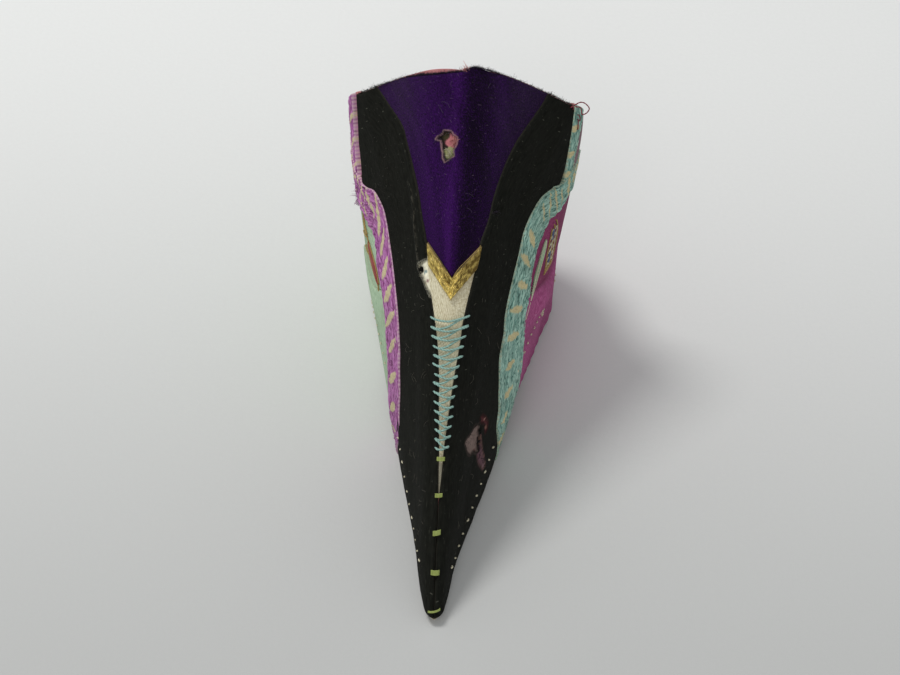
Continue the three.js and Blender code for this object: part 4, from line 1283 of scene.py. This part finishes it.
def ribbonPattern(along, across, width, spots, plan):
    # floats lie along the ribbon in wandering strands, with grooves where a noise crosses its middle;
    # a spot is a rounded diamond with a ragged rim; beads are a sine along both edges
    bent = across + uneven(0.9, along * 0.3, across * 0.4, 61)
    strands = layered(along * 0.30, bent * 1.4, 62, 2)
    tone = ease(layered(along * 0.40, bent * 1.7, 64, 2), 0.32, 0.68)
    groove = 0.85 * ease(0.055 - np.abs(strands - 0.5), 0, 0.05)
    groove = groove * ease(layered(along * 0.5, across, 63), 0.3, 0.6)
    spot = np.zeros_like(along)
    for at, over, long, wide in spots:
        aside = across - over
        onward = along - at + plan["slant"] * aside
        ragged = uneven(0.9, along * 1.5 + at, across * 1.5, 66)
        reach = (np.abs(onward) / (plan["long"] * long)) ** 1.7
        reach = reach + (np.abs(aside) / (plan["wide"] * wide)) ** 1.7
        spot = np.maximum(spot, ease(1.05 - reach + ragged, 0.0, 0.22))
    margin = np.minimum(across, width - across)
    beads = 0.5 + 0.5 * np.sin(2 * np.pi * along / ribbonPlan["edgeBead"])
    picot = ease(ribbonPlan["edgeWidth"] - margin, 0, 0.12) * (0.15 + 0.85 * beads)
    lift = 0.24 * (tone - 0.5) - 0.16 * groove + 0.08 * spot
    lift = lift + 0.10 * beads * ease(ribbonPlan["edgeWidth"] - margin, 0, 0.15)
    lift = lift + uneven(0.24, along * 0.12, across * 0.2, 67)
    return lift, {"tone": tone, "groove": groove, "spot": spot, "picot": picot}


def archRibbonRelief(hand):
    # the pattern, with a gather where the ribbon turns, and a curled and frayed rear edge below it
    def relief(grid):
        along, across, width = grid["along"], grid["across"], grid["width"]
        marks = []
        for rib, rise, long, wide in ribbonSpots[hand]:
            near = gridPlace(grid, rib, rise)
            marks.append((along.flat[near], across.flat[near], long, wide))
        lift, layers = ribbonPattern(along, across, width, marks, ribbonPlan[hand])
        gather = 0.22 * np.sin(along * 2.0 + across * 0.5) * bump(grid["u"] - 0.25, 0.07)
        curl = -0.3 * bump(width - across, 0.5) * bump(grid["u"] - 0.52, 0.05)
        bare = ease(width - across, 0.35, 0.0) * bump(grid["u"] - 0.5, 0.06)
        tint = np.zeros((*bare.shape, 4)) + np.array(ribbonPlan["frayed"])
        return lift + gather + curl, {**layers, "bare": 0.8 * bare, "bareColour": tint}
    return relief


wing = {"size": (80, 128), "top": -0.2, "roll": 0.35, "ribbonWidth": 4.6, "spotSize": (0.9, 0.8),
        "heads": (0.44, 0.465, 0.492, 0.525, 0.56, 0.60),
        "cloth": {"right": srgb(128, 92, 104), "left": srgb(150, 150, 130)}}


def wingRelief(hand):
    # the ribbon's pattern down the front part, and plain sunk cloth behind it
    def relief(grid):
        # here the ribbon runs down the piece, so along and across change places
        walked, down = grid["walked"], grid["across"]
        marks = []
        for rib, rise in wingSpots[hand]:
            near = gridPlace(grid, rib, rise)
            marks.append((down.flat[near], walked.flat[near], *wing["spotSize"]))
        width = np.full_like(down, wing["ribbonWidth"])
        lift, layers = ribbonPattern(down, walked, width, marks, ribbonPlan[hand])
        behind = ease(walked - wing["ribbonWidth"], 0.0, 0.15)
        for name in ("groove", "spot", "picot"):
            layers[name] = layers[name] * (1 - behind)
        shade = (0.75 + 0.5 * layered(down * 0.5, walked * 2.0, 71))[..., None]
        tint = np.array(wing["cloth"][hand]) * shade
        tint[..., 3] = 1
        lift = mix(lift, -0.25 + 0.05 * shade[..., 0], behind)
        return lift, {**layers, "bare": behind, "bareColour": tint}
    return relief


for side, hand in hands:
    arch = sideCurves(side)[2]
    finish, slot = ribbonPlan[hand]["finish"], ribbonPlan[hand]["slot"]
    clothPiece(f"archRibbon_{hand}", lineSpot(side, arch[:, :2], arch[:, 2:]), ribbonPlan["size"], finish,
               f"arch_ribbon_{hand}", top=ribbonPlan["top"], bottom=ribbonPlan["bottom"],
               roll=ribbonPlan["roll"], relief=archRibbonRelief(hand), crowd=(0.2, 0.4))
    heads = np.array([[rib - side * 0.02 * (1 - k / 5), 1.0] for k, rib in enumerate(wing["heads"])])
    feet = smoothRows(arch[:turnLine + 1][::-1, :2])(np.linspace(0, 1, len(heads)))
    clothPiece(f"wingRibbon_{hand}", lineSpot(side, heads, np.stack(feet, 1), 0.02), wing["size"],
               finish + "Down", f"wing_ribbon_{hand}", top=wing["top"], bottom=shoe["panelDepth"],
               roll=wing["roll"], relief=wingRelief(hand), crowd=(0.4, 0.3))
print("stage: ribbons made")


# Quarters and heel covers
quarter = {"size": (200, 64), "roll": 0.4, "start": 0.328, "front": 0.335, "backRise": 0.585,
           "frontRise": 0.515, "top": {"left": 0.35, "right": 0.05},
           "cloth": {"left": "sage", "right": "plum"},
           "slot": {"left": "sage_cloth", "right": "magenta_cloth"},
           "dip": {"left": (0.06, 0.455, 0.09), "right": (0.055, 0.49, 0.07)},
           "ribs": (0.635, 0.67, 0.71, 0.75, 0.79, 0.83, 0.865, 0.90, 0.93, 0.955, 0.98, 1.0)}


def coverDip(rib, hand):
    # the cover's top line sinks behind its front shoulder
    deep, at, width = quarter["dip"][hand]
    return deep * bump(rib - at, width)


def coverRise(rib, hand):
    # a straight line from the front to the back seam, less the dip
    share = (rib - quarter["start"]) / (1 - quarter["start"])
    return mix(quarter["frontRise"], quarter["backRise"], share) - coverDip(rib, hand)


def quarterRelief(side):
    # a low wave, and a hem along the free part of the top
    def relief(grid):
        lift = uneven(0.4, grid["along"] * 0.1 + 2, grid["across"] * 0.1, 81 + side)
        hem = 0.10 * bump(grid["across"] - 0.7, 0.5) - 0.06 * bump(grid["across"] - 1.7, 0.3)
        return lift + hem * ease(np.abs(grid["rib"]), 0.6, 0.66), {}
    return relief


cover = {"size": (80, 240), "bottom": 0.6, "roll": 0.7, "proud": {"left": 0.05, "right": 0.3},
         "cloth": {"left": "sage", "right": "magenta"}, "swell": 1.6, "leftSwell": 0.2, "hemPucker": 0.14,
         "gatherHeight": 0.10, "frontDip": 0.5}


def coverRelief(side):
    # a swelled shoulder, gathers below the top edge and puckers along the sole
    def relief(grid):
        fromTop, fromFront, ribs = grid["along"], grid["across"], np.abs(grid["rib"])
        shoulder = ease(ribs, 0.36, 0.42) * ease(ribs, 0.58, 0.47)
        swell = cover["swell"] * bump(fromTop - 3.0, 2.6) * shoulder * (1 if side > 0 else cover["leftSwell"])
        lift = swell + 0.22 * (layered(fromTop * 0.11, fromFront * 0.07 + side, 91) - 0.7)
        base = cover["hemPucker"] * np.sin(fromFront * 1.5 + 2 * layered(fromFront * 0.2, 0 * ribs, 92))
        lift = lift + base * bump(grid["along"][-1:] - fromTop - 1.5, 2.2)
        gathers = cover["gatherHeight"] * np.sin(fromFront * 2.6)
        gathers = gathers * bump(fromTop - 1.2, 1.6) * ease(ribs, 0.36, 0.42)
        return lift + gathers - cover["frontDip"] * bump(fromFront, 1.3), {}
    return relief


def coverSpot(plain, hand):
    # the plain places, lowered by the dip towards the top edge
    def spot(u, v):
        rib, rise = plain(u, v)
        return rib, rise - coverDip(np.abs(rib), hand) * ease(u, 0.6, 0.0)
    return spot


for side, hand in hands:
    arch = sideCurves(side)[2]
    slot = quarter["slot"][hand]
    coverIndex = len(ribbonEnd) + coverLine - turnLine
    under = arch[:coverIndex + 1][::-1, 2:]
    feet = np.linspace(quarter["front"], ribbonEnd[0, 4], len(under))
    heads = np.concatenate([under, [[rib, 1.0] for rib in quarter["ribs"][1:]]])
    lows = np.concatenate([feet, quarter["ribs"][1:]])
    lows = np.stack([lows, coverRise(lows, hand)], 1)
    clothPiece(f"quarterCloth_{hand}", lineSpot(side, heads, lows, 0.08, 0.04), quarter["size"],
               quarter["cloth"][hand], f"quarter_{hand}", top=quarter["top"][hand],
               bottom=shoe["panelDepth"], roll=quarter["roll"], relief=quarterRelief(side),
               crowd=(0.2, 0.5))
    front = arch[coverIndex:, 2:]
    backs = np.stack([np.ones(len(front)), quarter["backRise"] * front[:, 1] / front[0, 1]], 1)
    clothPiece(f"heelCover_{hand}", coverSpot(lineSpot(side, front, backs, 0.0, 0.03), hand), cover["size"],
               cover["cloth"][hand], f"heel_cover_{hand}", top=-cover["proud"][hand],
               bottom=cover["bottom"], roll=cover["roll"], relief=coverRelief(side), crowd=(0.5, 0.4))
print("stage: quarters and heel covers made")


# The lining: one wall round the foot, open at the collar and underneath
lining = {"size": (32, 240), "outer": 0.98, "lip": 0.35, "ragged": 0.10, "ringStep": 0.9}


def liningPiece():
    # up the outside, over the lip and down the inside; the foot is found by stepping down the slope
    rows, columns = lining["size"]
    share = crowded(np.linspace(-1, 1, columns, endpoint=False), 0.5)[None, :]
    climb = np.linspace(0, 1, rows + 1)[:, None]

    def clearance(rise, depth):
        # how far the wall at a rise lies above the bed, less the gap that is left there
        point = place(share[0], rise, depth)
        return point[:, 2] - bed(point[:, 1] - shoe["backShift"]) - shoe["footGap"]

    loops = []
    nudge = 0.01
    for depth in (lining["outer"], shoe["wallDepth"]):
        foot = np.zeros(columns)
        for _ in range(8):
            here = clearance(foot, depth)
            foot = foot - here * nudge / (clearance(foot + nudge, depth) - here)
        rise = mix(foot[None, :], 1.0, climb)
        ragged = uneven(lining["ragged"], share * 90, climb * 30, 95) if depth > 1 else 0
        loops.append(place(share + 0 * climb, rise, depth + ragged))
    outer, inner = loops
    # over the lip: a half round from the outer face to the inner one, a little above the edge
    turn = np.linspace(0, np.pi, 9)[1:-1, None, None]
    lip = mix(outer[-1], inner[-1], (1 - np.cos(turn)) / 2)
    lip[..., 2] += lining["lip"] * np.sin(turn[..., 0])
    rings = np.concatenate([outer, lip, inner[::-1]])
    count = len(rings)
    i, j = np.meshgrid(np.arange(count), np.arange(columns), indexing="ij")
    a, b = i * columns + j, i * columns + (j + 1) % columns
    c, d = np.roll(b, -1, 0), np.roll(a, -1, 0)
    quads = np.stack([a, d, c, b], -1).reshape(-1, 4)
    # one place on the right side tells which way the faces point
    row, column = rows // 2, columns // 2 + 11
    walked = np.broadcast_to(np.arange(count)[:, None] * lining["ringStep"], (count, columns))
    around = np.concatenate([[0], np.cumsum(np.linalg.norm(np.diff(outer[row], axis=0), axis=-1))])
    uv = np.stack([np.broadcast_to(around, (count, columns)), walked], -1).reshape(-1, 2)
    points = rings.reshape(-1, 3)
    here = outer[row, column]
    facing = np.cross(outer[row, column - 1] - here, outer[row + 1, column] - here)
    if facing @ outward(share[0, column], rise[row, column]) < 0:
        quads = quads[:, ::-1]
    edge = {"edge": np.full(len(points), 5.0)}
    mesh = makeMesh("liningWall", points, quads, [], uv, edge)
    addPiece("liningWall", mesh, "lining", "upper")


liningPiece()

for node, finish in (("sole", "sole"), ("heel_block", "heel"), ("insole", "insole")):
    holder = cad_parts[node]
    holder.data.materials.clear()
    holder.data.materials.append(finishes[finish])
print("stage: lining and sole made")


# Lacing over the gore: one thread goes from left to right and back, lower each time
lacing = {"leftRise": (0.540, 0.308), "rightRise": (0.546, 0.312), "turns": 14, "out": 1.15, "radius": 0.23,
          "height": 0.2, "over": 0.36, "under": 0.1, "wander": 0.35, "mmPerRib": 62.0}


def lacingPiece():
    # each run crosses from side to side with an eased fall, and rises by the root of a sine
    n = lacing["turns"]
    goreRib = curve(goreLines[::-1, 2], goreLines[::-1, 1])
    lefts = np.linspace(*lacing["leftRise"], n + 1)
    rights = np.linspace(*lacing["rightRise"], n)
    random = np.random.default_rng(7)
    shift = lambda count: lacing["wander"] * (random.random(count) - 0.5)
    perRib = lacing["mmPerRib"]
    reach = lacing["out"] / perRib
    leftRib = -(goreRib(lefts) + reach + shift(n + 1) / perRib * 1.5)
    rightRib = goreRib(rights) + reach + shift(n) / perRib * 1.5
    paths, ups = [], []
    steps = np.linspace(0, 1, 25)
    for down in (True, False):
        startRib, startRise = (leftRib[:-1], lefts[:-1]) if down else (rightRib, rights)
        endRib, endRise = (rightRib, rights) if down else (leftRib[1:], lefts[1:])
        rib = mix(startRib[:, None], endRib[:, None], steps)
        rise = mix(startRise[:, None], endRise[:, None], ease(steps, 0.12, 0.88))
        rise = rise - 0.0035 * np.sin(np.pi * steps) + random.normal(0, 0.0006, (len(rise), 1))
        hump = np.minimum(1, 1.5 * np.sqrt(np.sin(np.pi * np.clip(steps, 0.001, 0.999))))
        height = mix(-0.4, lacing["height"] + lacing["over" if down else "under"], hump)
        points, out = laid(rib, rise, np.broadcast_to(height, rib.shape))
        paths.append(points)
        ups.append(out)
    threadPiece("lacing", np.concatenate(paths), np.concatenate(ups), lacing["radius"], "laceThread",
                sides=10, ply=0.16, turns=0.9)


lacingPiece()

# Bar tacks that close the ridge below the gore: rise, threads, half width and slant in mm
tacks = [(0.289, 4, 0.92, 0.05), (0.223, 4, 0.82, 0.1), (0.155, 5, 0.86, 0.25), (0.083, 5, 0.95, 0.05),
         (0.013, 2, 1.4, 0.4)]


tackThread = {"pitch": 0.22, "height": 0.4, "radius": 0.14}


def stitchAcross(rise, count, half, slant):
    # short threads side by side over the ridge, each an arch from one side to the other
    steps = np.linspace(-1, 1, 11)
    offsets = ((np.arange(count) - (count - 1) / 2) * tackThread["pitch"])[:, None]
    perRib = np.linalg.norm(place(0.021, rise) - place(0.001, rise)) / 0.02
    climb = np.linalg.norm(place(0.001, rise + 0.01) - place(0.001, rise)) / 0.01
    rises = rise + (offsets + slant * steps) / climb
    arch = tackThread["height"] * np.sqrt(1 - steps ** 4) - 0.25 * (np.abs(steps) > 0.97)
    return laid(steps * half / perRib + 0 * offsets, np.clip(rises, 0, 1), arch + 0 * offsets)


tackPaths, tackUps = (np.concatenate(parts) for parts in zip(*[stitchAcross(*tack) for tack in tacks]))
threadPiece("barTacks", tackPaths, tackUps, tackThread["radius"], "tackThread", sides=8,
            ply=0.12)


def seeds(name, ribs, rises, lengths, angles, finish, radius, height):
    # small stitches on the face: each is a short arch of thread, turned by its angle in degrees
    ribs, rises = np.asarray(ribs, float), np.asarray(rises, float)
    steps = np.linspace(-0.5, 0.5, 7)
    paths, ups = [], []
    for k, (rib, rise) in enumerate(zip(ribs, rises)):
        reach = lengths[k % len(lengths)] * steps
        turn = math.radians(angles[k % len(angles)])
        r, s = fromLocal((rib, rise), reach * math.cos(turn), reach * math.sin(turn))
        points, out = laid(r, s, height + 0.06 * np.cos(np.pi * steps) - 0.12 * (np.abs(steps) > 0.45))
        paths.append(points)
        ups.append(out)
    threadPiece(name, paths, ups, radius, finish, sides=8, ply=0.1)


def spaced(ribs, rises, pitch):
    # places a fixed number of mm apart along a smooth line over the face
    stations = np.arange(len(ribs))
    t = np.linspace(0, stations[-1], 400)
    rib, rise = (curve(stations, np.array(values))(t) for values in (ribs, rises))
    walked = np.cumsum(np.linalg.norm(np.diff(place(rib, rise), axis=0), axis=-1))
    at = np.arange(0.4, walked[-1], pitch)
    return np.interp(at, walked, rib[1:]), np.interp(at, walked, rise[1:])


coverSeam = {"pitch": 2.4, "ribs": (0.366, 0.374, 0.392, 0.415, 0.447, 0.49, 0.54, 0.60, 0.725, 0.85, 0.985),
             "rises": (0.300, 0.323, 0.348, 0.362, 0.352, 0.333, 0.312, 0.28, 0.245, 0.23, 0.225)}
# White stitches that hold the cloth to the sole, listed from the ribbon to the toe
soleStitches = {
    "right": [(0.320, 0.152), (0.308, 0.133), (0.297, 0.115), (0.283, 0.100), (0.267, 0.088), (0.250, 0.077),
              (0.232, 0.066), (0.206, 0.060), (0.184, 0.054), (0.158, 0.052), (0.124, 0.060)],
    "left": [(0.300, 0.180), (0.287, 0.165), (0.277, 0.145), (0.266, 0.122), (0.250, 0.104), (0.235, 0.090),
             (0.212, 0.082), (0.188, 0.080), (0.162, 0.080), (0.134, 0.080), (0.108, 0.078)],
}
for side, hand in hands:
    ribs, rises = np.array(soleStitches[hand]).T
    seeds(f"soleStitches_{hand}", side * ribs, rises, (0.95, 0.75, 1.05, 0.7), (-30, -48, -18, -40),
          "creamThread", radius=0.2, height=0.46 if side < 0 else 0.16)
    # on the heel cover the row rises from the ribbon, then follows the base to the back seam
    ribs, rises = spaced(side * np.array(coverSeam["ribs"]), coverSeam["rises"], coverSeam["pitch"])
    seeds(f"coverStitches_{hand}", ribs, rises, (0.5, 0.4, 0.55), (20, 5, 30),
          "creamThread", radius=0.12, height=cover["proud"][hand] + 0.12)


def stitchedLines(name, lines, radius, finish, height, steps=40):
    # threads laid on the face, each a smooth line through a few places, its ends turned into the cloth
    t = np.linspace(0, 1, steps)
    dive = 0.3 * (np.abs(t - 0.5) > 0.49)
    paths, ups = [], []
    for places in lines:
        ribs, rises = np.array(places).T
        stations = np.arange(len(ribs))
        at = t * (len(ribs) - 1)
        points, out = laid(curve(stations, ribs)(at), curve(stations, rises)(at), height - dive)
        paths.append(points)
        ups.append(out)
    threadPiece(name, paths, ups, radius, finish, sides=8, ply=0.1)


def satinStitch(name, first, second, count, finish, slip=0.0, height=0.1):
    # threads side by side from one edge line to another, puffed up in the middle
    at = np.linspace(0.02, 0.98, count) * (len(first) - 1)
    stations = np.arange(len(first))
    one = np.stack([curve(stations, np.array(first)[:, k])(at) for k in (0, 1)])
    shifted = np.clip(at + slip, 0, len(first) - 1)
    two = np.stack([curve(stations, np.array(second)[:, k])(shifted) for k in (0, 1)])
    t = np.linspace(0, 1, 9)
    rib, rise = (mix(one[k][:, None], two[k][:, None], t) for k in (0, 1))
    rounded = height + 0.2 * np.sin(np.pi * t) - 0.25 * (np.abs(t - 0.5) > 0.45)
    points, out = laid(rib, rise, rounded + 0 * rib)
    threadPiece(name, points, out, 0.1, finish, sides=6, ply=0.08)


# A thin folded edge shows between the velvet and the gold
veeEdge = {"left": [(-0.092, 0.673), (-0.078, 0.664), (-0.058, 0.650), (-0.033, 0.634), (-0.004, 0.6185)],
           "right": [(0.092, 0.675), (0.076, 0.666), (0.051, 0.652), (0.021, 0.635), (0.003, 0.6185)]}
stitchedLines("goldFold", [veeEdge["left"], veeEdge["right"]], 0.08, "goldThread", 0.5)


# The embroidered sprig on the right side: a leaf with a mid rib, and a scalloped vase beside it
leafEdges = {
    "left": [(0.377, 0.643), (0.368, 0.630), (0.361, 0.605), (0.357, 0.580), (0.354, 0.560), (0.353, 0.540),
             (0.352, 0.490)],
    "middle": [(0.377, 0.643), (0.374, 0.627), (0.369, 0.604), (0.364, 0.583), (0.360, 0.563), (0.357, 0.540),
               (0.352, 0.490)],
    "right": [(0.377, 0.643), (0.381, 0.622), (0.379, 0.600), (0.374, 0.575), (0.368, 0.550), (0.362, 0.525),
              (0.352, 0.490)],
}
satinStitch("leafFront", leafEdges["middle"], leafEdges["left"], 44, "leafThread", slip=-0.35)
satinStitch("leafRear", leafEdges["middle"], leafEdges["right"], 44, "leafThread", slip=-0.35)
stitchedLines("leafOutline", [leafEdges["left"], leafEdges["right"], leafEdges["middle"],
                              [(0.352, 0.492), (0.349, 0.470), (0.345, 0.450)]],
              0.09, "creamThread", 0.3)
vaseLines = {
    "rear": [(0.422, 0.680), (0.447, 0.645), (0.462, 0.605), (0.468, 0.565), (0.463, 0.540), (0.468, 0.524)],
    "front": [(0.405, 0.662), (0.403, 0.625), (0.402, 0.593), (0.409, 0.560), (0.417, 0.527)],
    "spine": [(0.418, 0.668), (0.428, 0.625), (0.433, 0.580), (0.438, 0.530)],
}
stitchedLines("vaseCords", list(vaseLines.values()) + [
    [(0.410, 0.531), (0.438, 0.528), (0.470, 0.524)], [(0.411, 0.537), (0.438, 0.534), (0.470, 0.530)],
    [(0.412, 0.543), (0.438, 0.540), (0.468, 0.536)]],
    0.16, "goldThread", 0.15)
# Two columns of scallops: each place of a loop as its rib in the top row, its rib in the low row, and
# its rise in the top row
scallopColumns = [
    [(0.404, 0.416, 0.648), (0.414, 0.426, 0.656), (0.424, 0.434, 0.640), (0.412, 0.422, 0.630)],
    [(0.428, 0.440, 0.648), (0.440, 0.452, 0.652), (0.446, 0.458, 0.634), (0.434, 0.444, 0.630)],
]
stitchedLines("vaseScallops", [[(mix(top, low, t), rise - 0.10 * t) for top, low, rise in column]
                               for column in scallopColumns for t in np.linspace(0, 1, 6)],
              0.11, "creamThread", 0.14)
satinStitch("vaseBlueUpper", [(0.411, 0.655), (0.414, 0.640), (0.416, 0.625)],
            [(0.423, 0.655), (0.425, 0.640), (0.427, 0.625)], 12, "blueThread")
satinStitch("vaseBlueLower", [(0.414, 0.588), (0.418, 0.572), (0.422, 0.555)],
            [(0.428, 0.588), (0.431, 0.572), (0.434, 0.555)], 12, "blueThread")
# On the left side: a couched gold tendril and a coral petal
petal = {
    "rear": [(-0.412, 0.594), (-0.421, 0.572), (-0.414, 0.552), (-0.398, 0.533), (-0.368, 0.508)],
    "front": [(-0.406, 0.594), (-0.390, 0.580), (-0.374, 0.562), (-0.362, 0.542), (-0.356, 0.512)],
}
satinStitch("coralPetal", petal["rear"], petal["front"], 46, "coralThread", slip=0.1,
            height=-0.15)
stitchedLines("goldTendril", [
    [(-0.430, 0.690), (-0.440, 0.660), (-0.446, 0.632), (-0.440, 0.612), (-0.424, 0.602), (-0.412, 0.594)],
    [(-0.422, 0.680), (-0.430, 0.655), (-0.436, 0.632), (-0.430, 0.618), (-0.418, 0.610)],
    [(-0.420, 0.602), (-0.440, 0.590), (-0.466, 0.586)], [(-0.405, 0.560), (-0.432, 0.548), (-0.458, 0.548)],
    petal["rear"], petal["front"], [(-0.366, 0.515), (-0.361, 0.503), (-0.362, 0.490)]],
    0.15, "goldThread", -0.08)

# A corded seam down the middle of the heel, over the join of the two sides
stitchedLines("backSeam", [[(1.0, 0.99), (1.0, 0.80), (1.0, 0.60)]], 0.28, "redThread",
              0.1, steps=80)
stitchedLines("backSeamLow", [[(1.0, 0.585), (1.0, 0.30), (1.0, 0.03)]], 0.28, "redThread",
              cover["proud"]["right"], steps=80)


def hairs(name, roots, directions, lengths, seed, radius, finish):
    # each hair leaves its root along its direction and bends aside with the square of the way along
    random = np.random.default_rng(seed)
    t = np.linspace(0, 1, 5)
    aside = random.normal(0, 0.5, roots.shape)
    path = roots[:, None] + lengths[:, None, None] * (directions[:, None] * t[:, None]
                                                      + aside[:, None] * t[:, None] ** 2)
    across = np.cross(directions, aside) + 1e-6
    threadPiece(name, path, across[:, None], radius * (1.05 - 0.75 * t), finish, sides=4)


def fuzzRow(name, count, seed, ribs, rises, depth, reach, finish, radius=0.045, up=1.0):
    # hairs rooted at random along a line, between two depths and with lengths between two reaches, in mm
    random = np.random.default_rng(seed)
    t = random.random(count)
    rib, rise = (np.interp(t, np.linspace(0, 1, len(ribs)), values) for values in (ribs, rises))
    roots = place(rib, rise, random.uniform(*depth, count))
    way = outward(rib, rise) * 0.6 + np.array([0, 0, up]) + random.normal(0, 0.45, (count, 3))
    way /= np.linalg.norm(way, axis=1, keepdims=True)
    hairs(name, roots, way, random.uniform(*reach, count), seed + 1, radius, finish)


velvetRim = {"ribs": (-0.30, -0.20, -0.15, -0.10, -0.05, 0.0, 0.03, 0.06, 0.12, 0.30),
             "rises": (0.999, 0.997, 0.994, 0.991, 0.994, 0.999, 1.006, 1.004, 0.999, 0.999)}
fuzzRow("velvetFuzz", 2200, 101, velvetRim["ribs"], velvetRim["rises"], (0.2, 1.1), (0.15, 0.62),
        "fuzz", radius=0.05)
for side, hand in hands:
    fuzzRow(f"vampFuzz_{hand}", 260, 110 + side, (side * 0.29, side * 0.42), (1.0, 1.0), (0.0, 0.9),
            (0.15, 0.6), "blackFuzz")
fuzzRow("notchFuzz", 14, 121, (0.126, 0.145), (0.735, 0.738), (-0.1, 0.2), (0.5, 1.4), "fuzz",
        up=0.2)
fuzzRow("ribbonEndFray", 90, 123, (-0.455, -0.520), (0.735, 0.640), (-0.3, 0.3), (0.25, 1.0),
        "roseThread", radius=0.09, up=0.1)
fuzzRow("satinFray", 60, 125, (-0.070, -0.118, -0.130, -0.104, -0.078), (0.644, 0.634, 0.624, 0.600, 0.580),
        (-0.05, 0.2), (0.2, 0.8), "creamThread", radius=0.04, up=0.3)
fuzzRow("holeFray", 90, 127, (-0.057, -0.012, -0.022, -0.034, -0.050, -0.066, -0.080, -0.057),
        (0.885, 0.874, 0.845, 0.830, 0.832, 0.868, 0.870, 0.885), (-0.05, 0.3), (0.25, 0.9),
        "greyFibre", radius=0.04, up=0.2)
fuzzRow("holeScrap", 70, 129, (-0.036, -0.020, -0.026, -0.014), (0.866, 0.874, 0.860, 0.870), (0.0, 0.5),
        (0.3, 0.8), "pinkFibre", radius=0.11, up=0.3)
fuzzRow("holeBatting", 50, 131, (-0.046, -0.032, -0.040), (0.853, 0.848, 0.838), (0.2, 0.6), (0.3, 0.9),
        "creamThread", radius=0.06, up=0.3)
fuzzRow("tearFray", 60, 133, (0.112, 0.155, 0.203, 0.205, 0.240, 0.284),
        (0.296, 0.306, 0.300, 0.240, 0.196, 0.140), (-0.05, 0.2), (0.3, 1.0), "blackFuzz",
        radius=0.05, up=0.2)
fuzzRow("liningTuft", 60, 135, (-0.006, 0.016), (1.0, 1.0), (0.9, 1.5), (0.5, 1.4), "pinkFibre",
        radius=0.12)


def looseFibres(name, count, seed, ribs, rises, lengths, finish):
    # stray fibres: short curled lines that lie over the cloth at any angle
    random = np.random.default_rng(seed)
    t = np.linspace(0, 1, 14)
    paths, ups = [], []
    for _ in range(count):
        centre = (random.uniform(*ribs) * random.choice([-1, 1]), random.uniform(*rises))
        long, turn, curl = random.uniform(*lengths), random.uniform(0, math.pi), random.normal(0, 1.4)
        angle = turn + curl * (t - 0.5)
        step = long / len(t)
        rib, rise = fromLocal(centre, np.cumsum(np.cos(angle)) * step, np.cumsum(np.sin(angle)) * step)
        points, out = laid(rib, np.clip(rise, 0, 1), 0.1 + 0.25 * np.sin(np.pi * t))
        paths.append(points)
        ups.append(out)
    threadPiece(name, paths, ups, 0.026, finish, sides=4)


looseFibres("velvetFibres", 9, 141, (0.02, 0.12), (0.68, 0.97), (1.0, 3.5), "greyFibre")
looseFibres("vampFibres", 50, 143, (0.08, 0.24), (0.06, 0.58), (0.6, 2.8), "dustFibre")

# A loose loop of red thread at the right corner, in mm aside and up in a plane that faces forward
loopPlan = {"at": (0.425, 1.0), "aside": (1.0, 0.06, 0.02), "up": (-0.06, 0.65, 0.76),
            "shape": [(0, 0), (0.7, 0.55), (1.65, 0.85), (2.65, 0.45), (3.4, -0.55), (2.95, -1.45),
                      (2.2, -1.9), (1.7, -1.8), (1.65, -0.9), (1.3, -0.3), (0.6, -0.2), (0.0, -0.1)]}


def redLoop():
    # a smooth line through the plan's places, laid in the plan's own plane
    stations = np.arange(len(loopPlan["shape"]))
    at = np.linspace(0, len(stations) - 1, 90)
    shape = np.array(loopPlan["shape"])
    aside, up = (curve(stations, shape[:, k])(at)[:, None] for k in (0, 1))
    path = place(*loopPlan["at"], 0.3) + aside * np.array(loopPlan["aside"]) + up * np.array(loopPlan["up"])
    threadPiece("redLoop", [path], np.cross(loopPlan["aside"], loopPlan["up"]), 0.13, "redThread",
                sides=10, ply=0.12)
    stitchedLines("redStitches", [[(0.452, 0.962), (0.458, 0.945), (0.462, 0.930)],
                                  [(0.448, 0.975), (0.462, 0.968), (0.470, 0.955)],
                                  [(0.392, 0.992), (0.400, 0.998), (0.408, 0.990)]],
                  0.13, "redThread", 0.45, steps=16)


redLoop()
print("stage: lacing and stitches made")
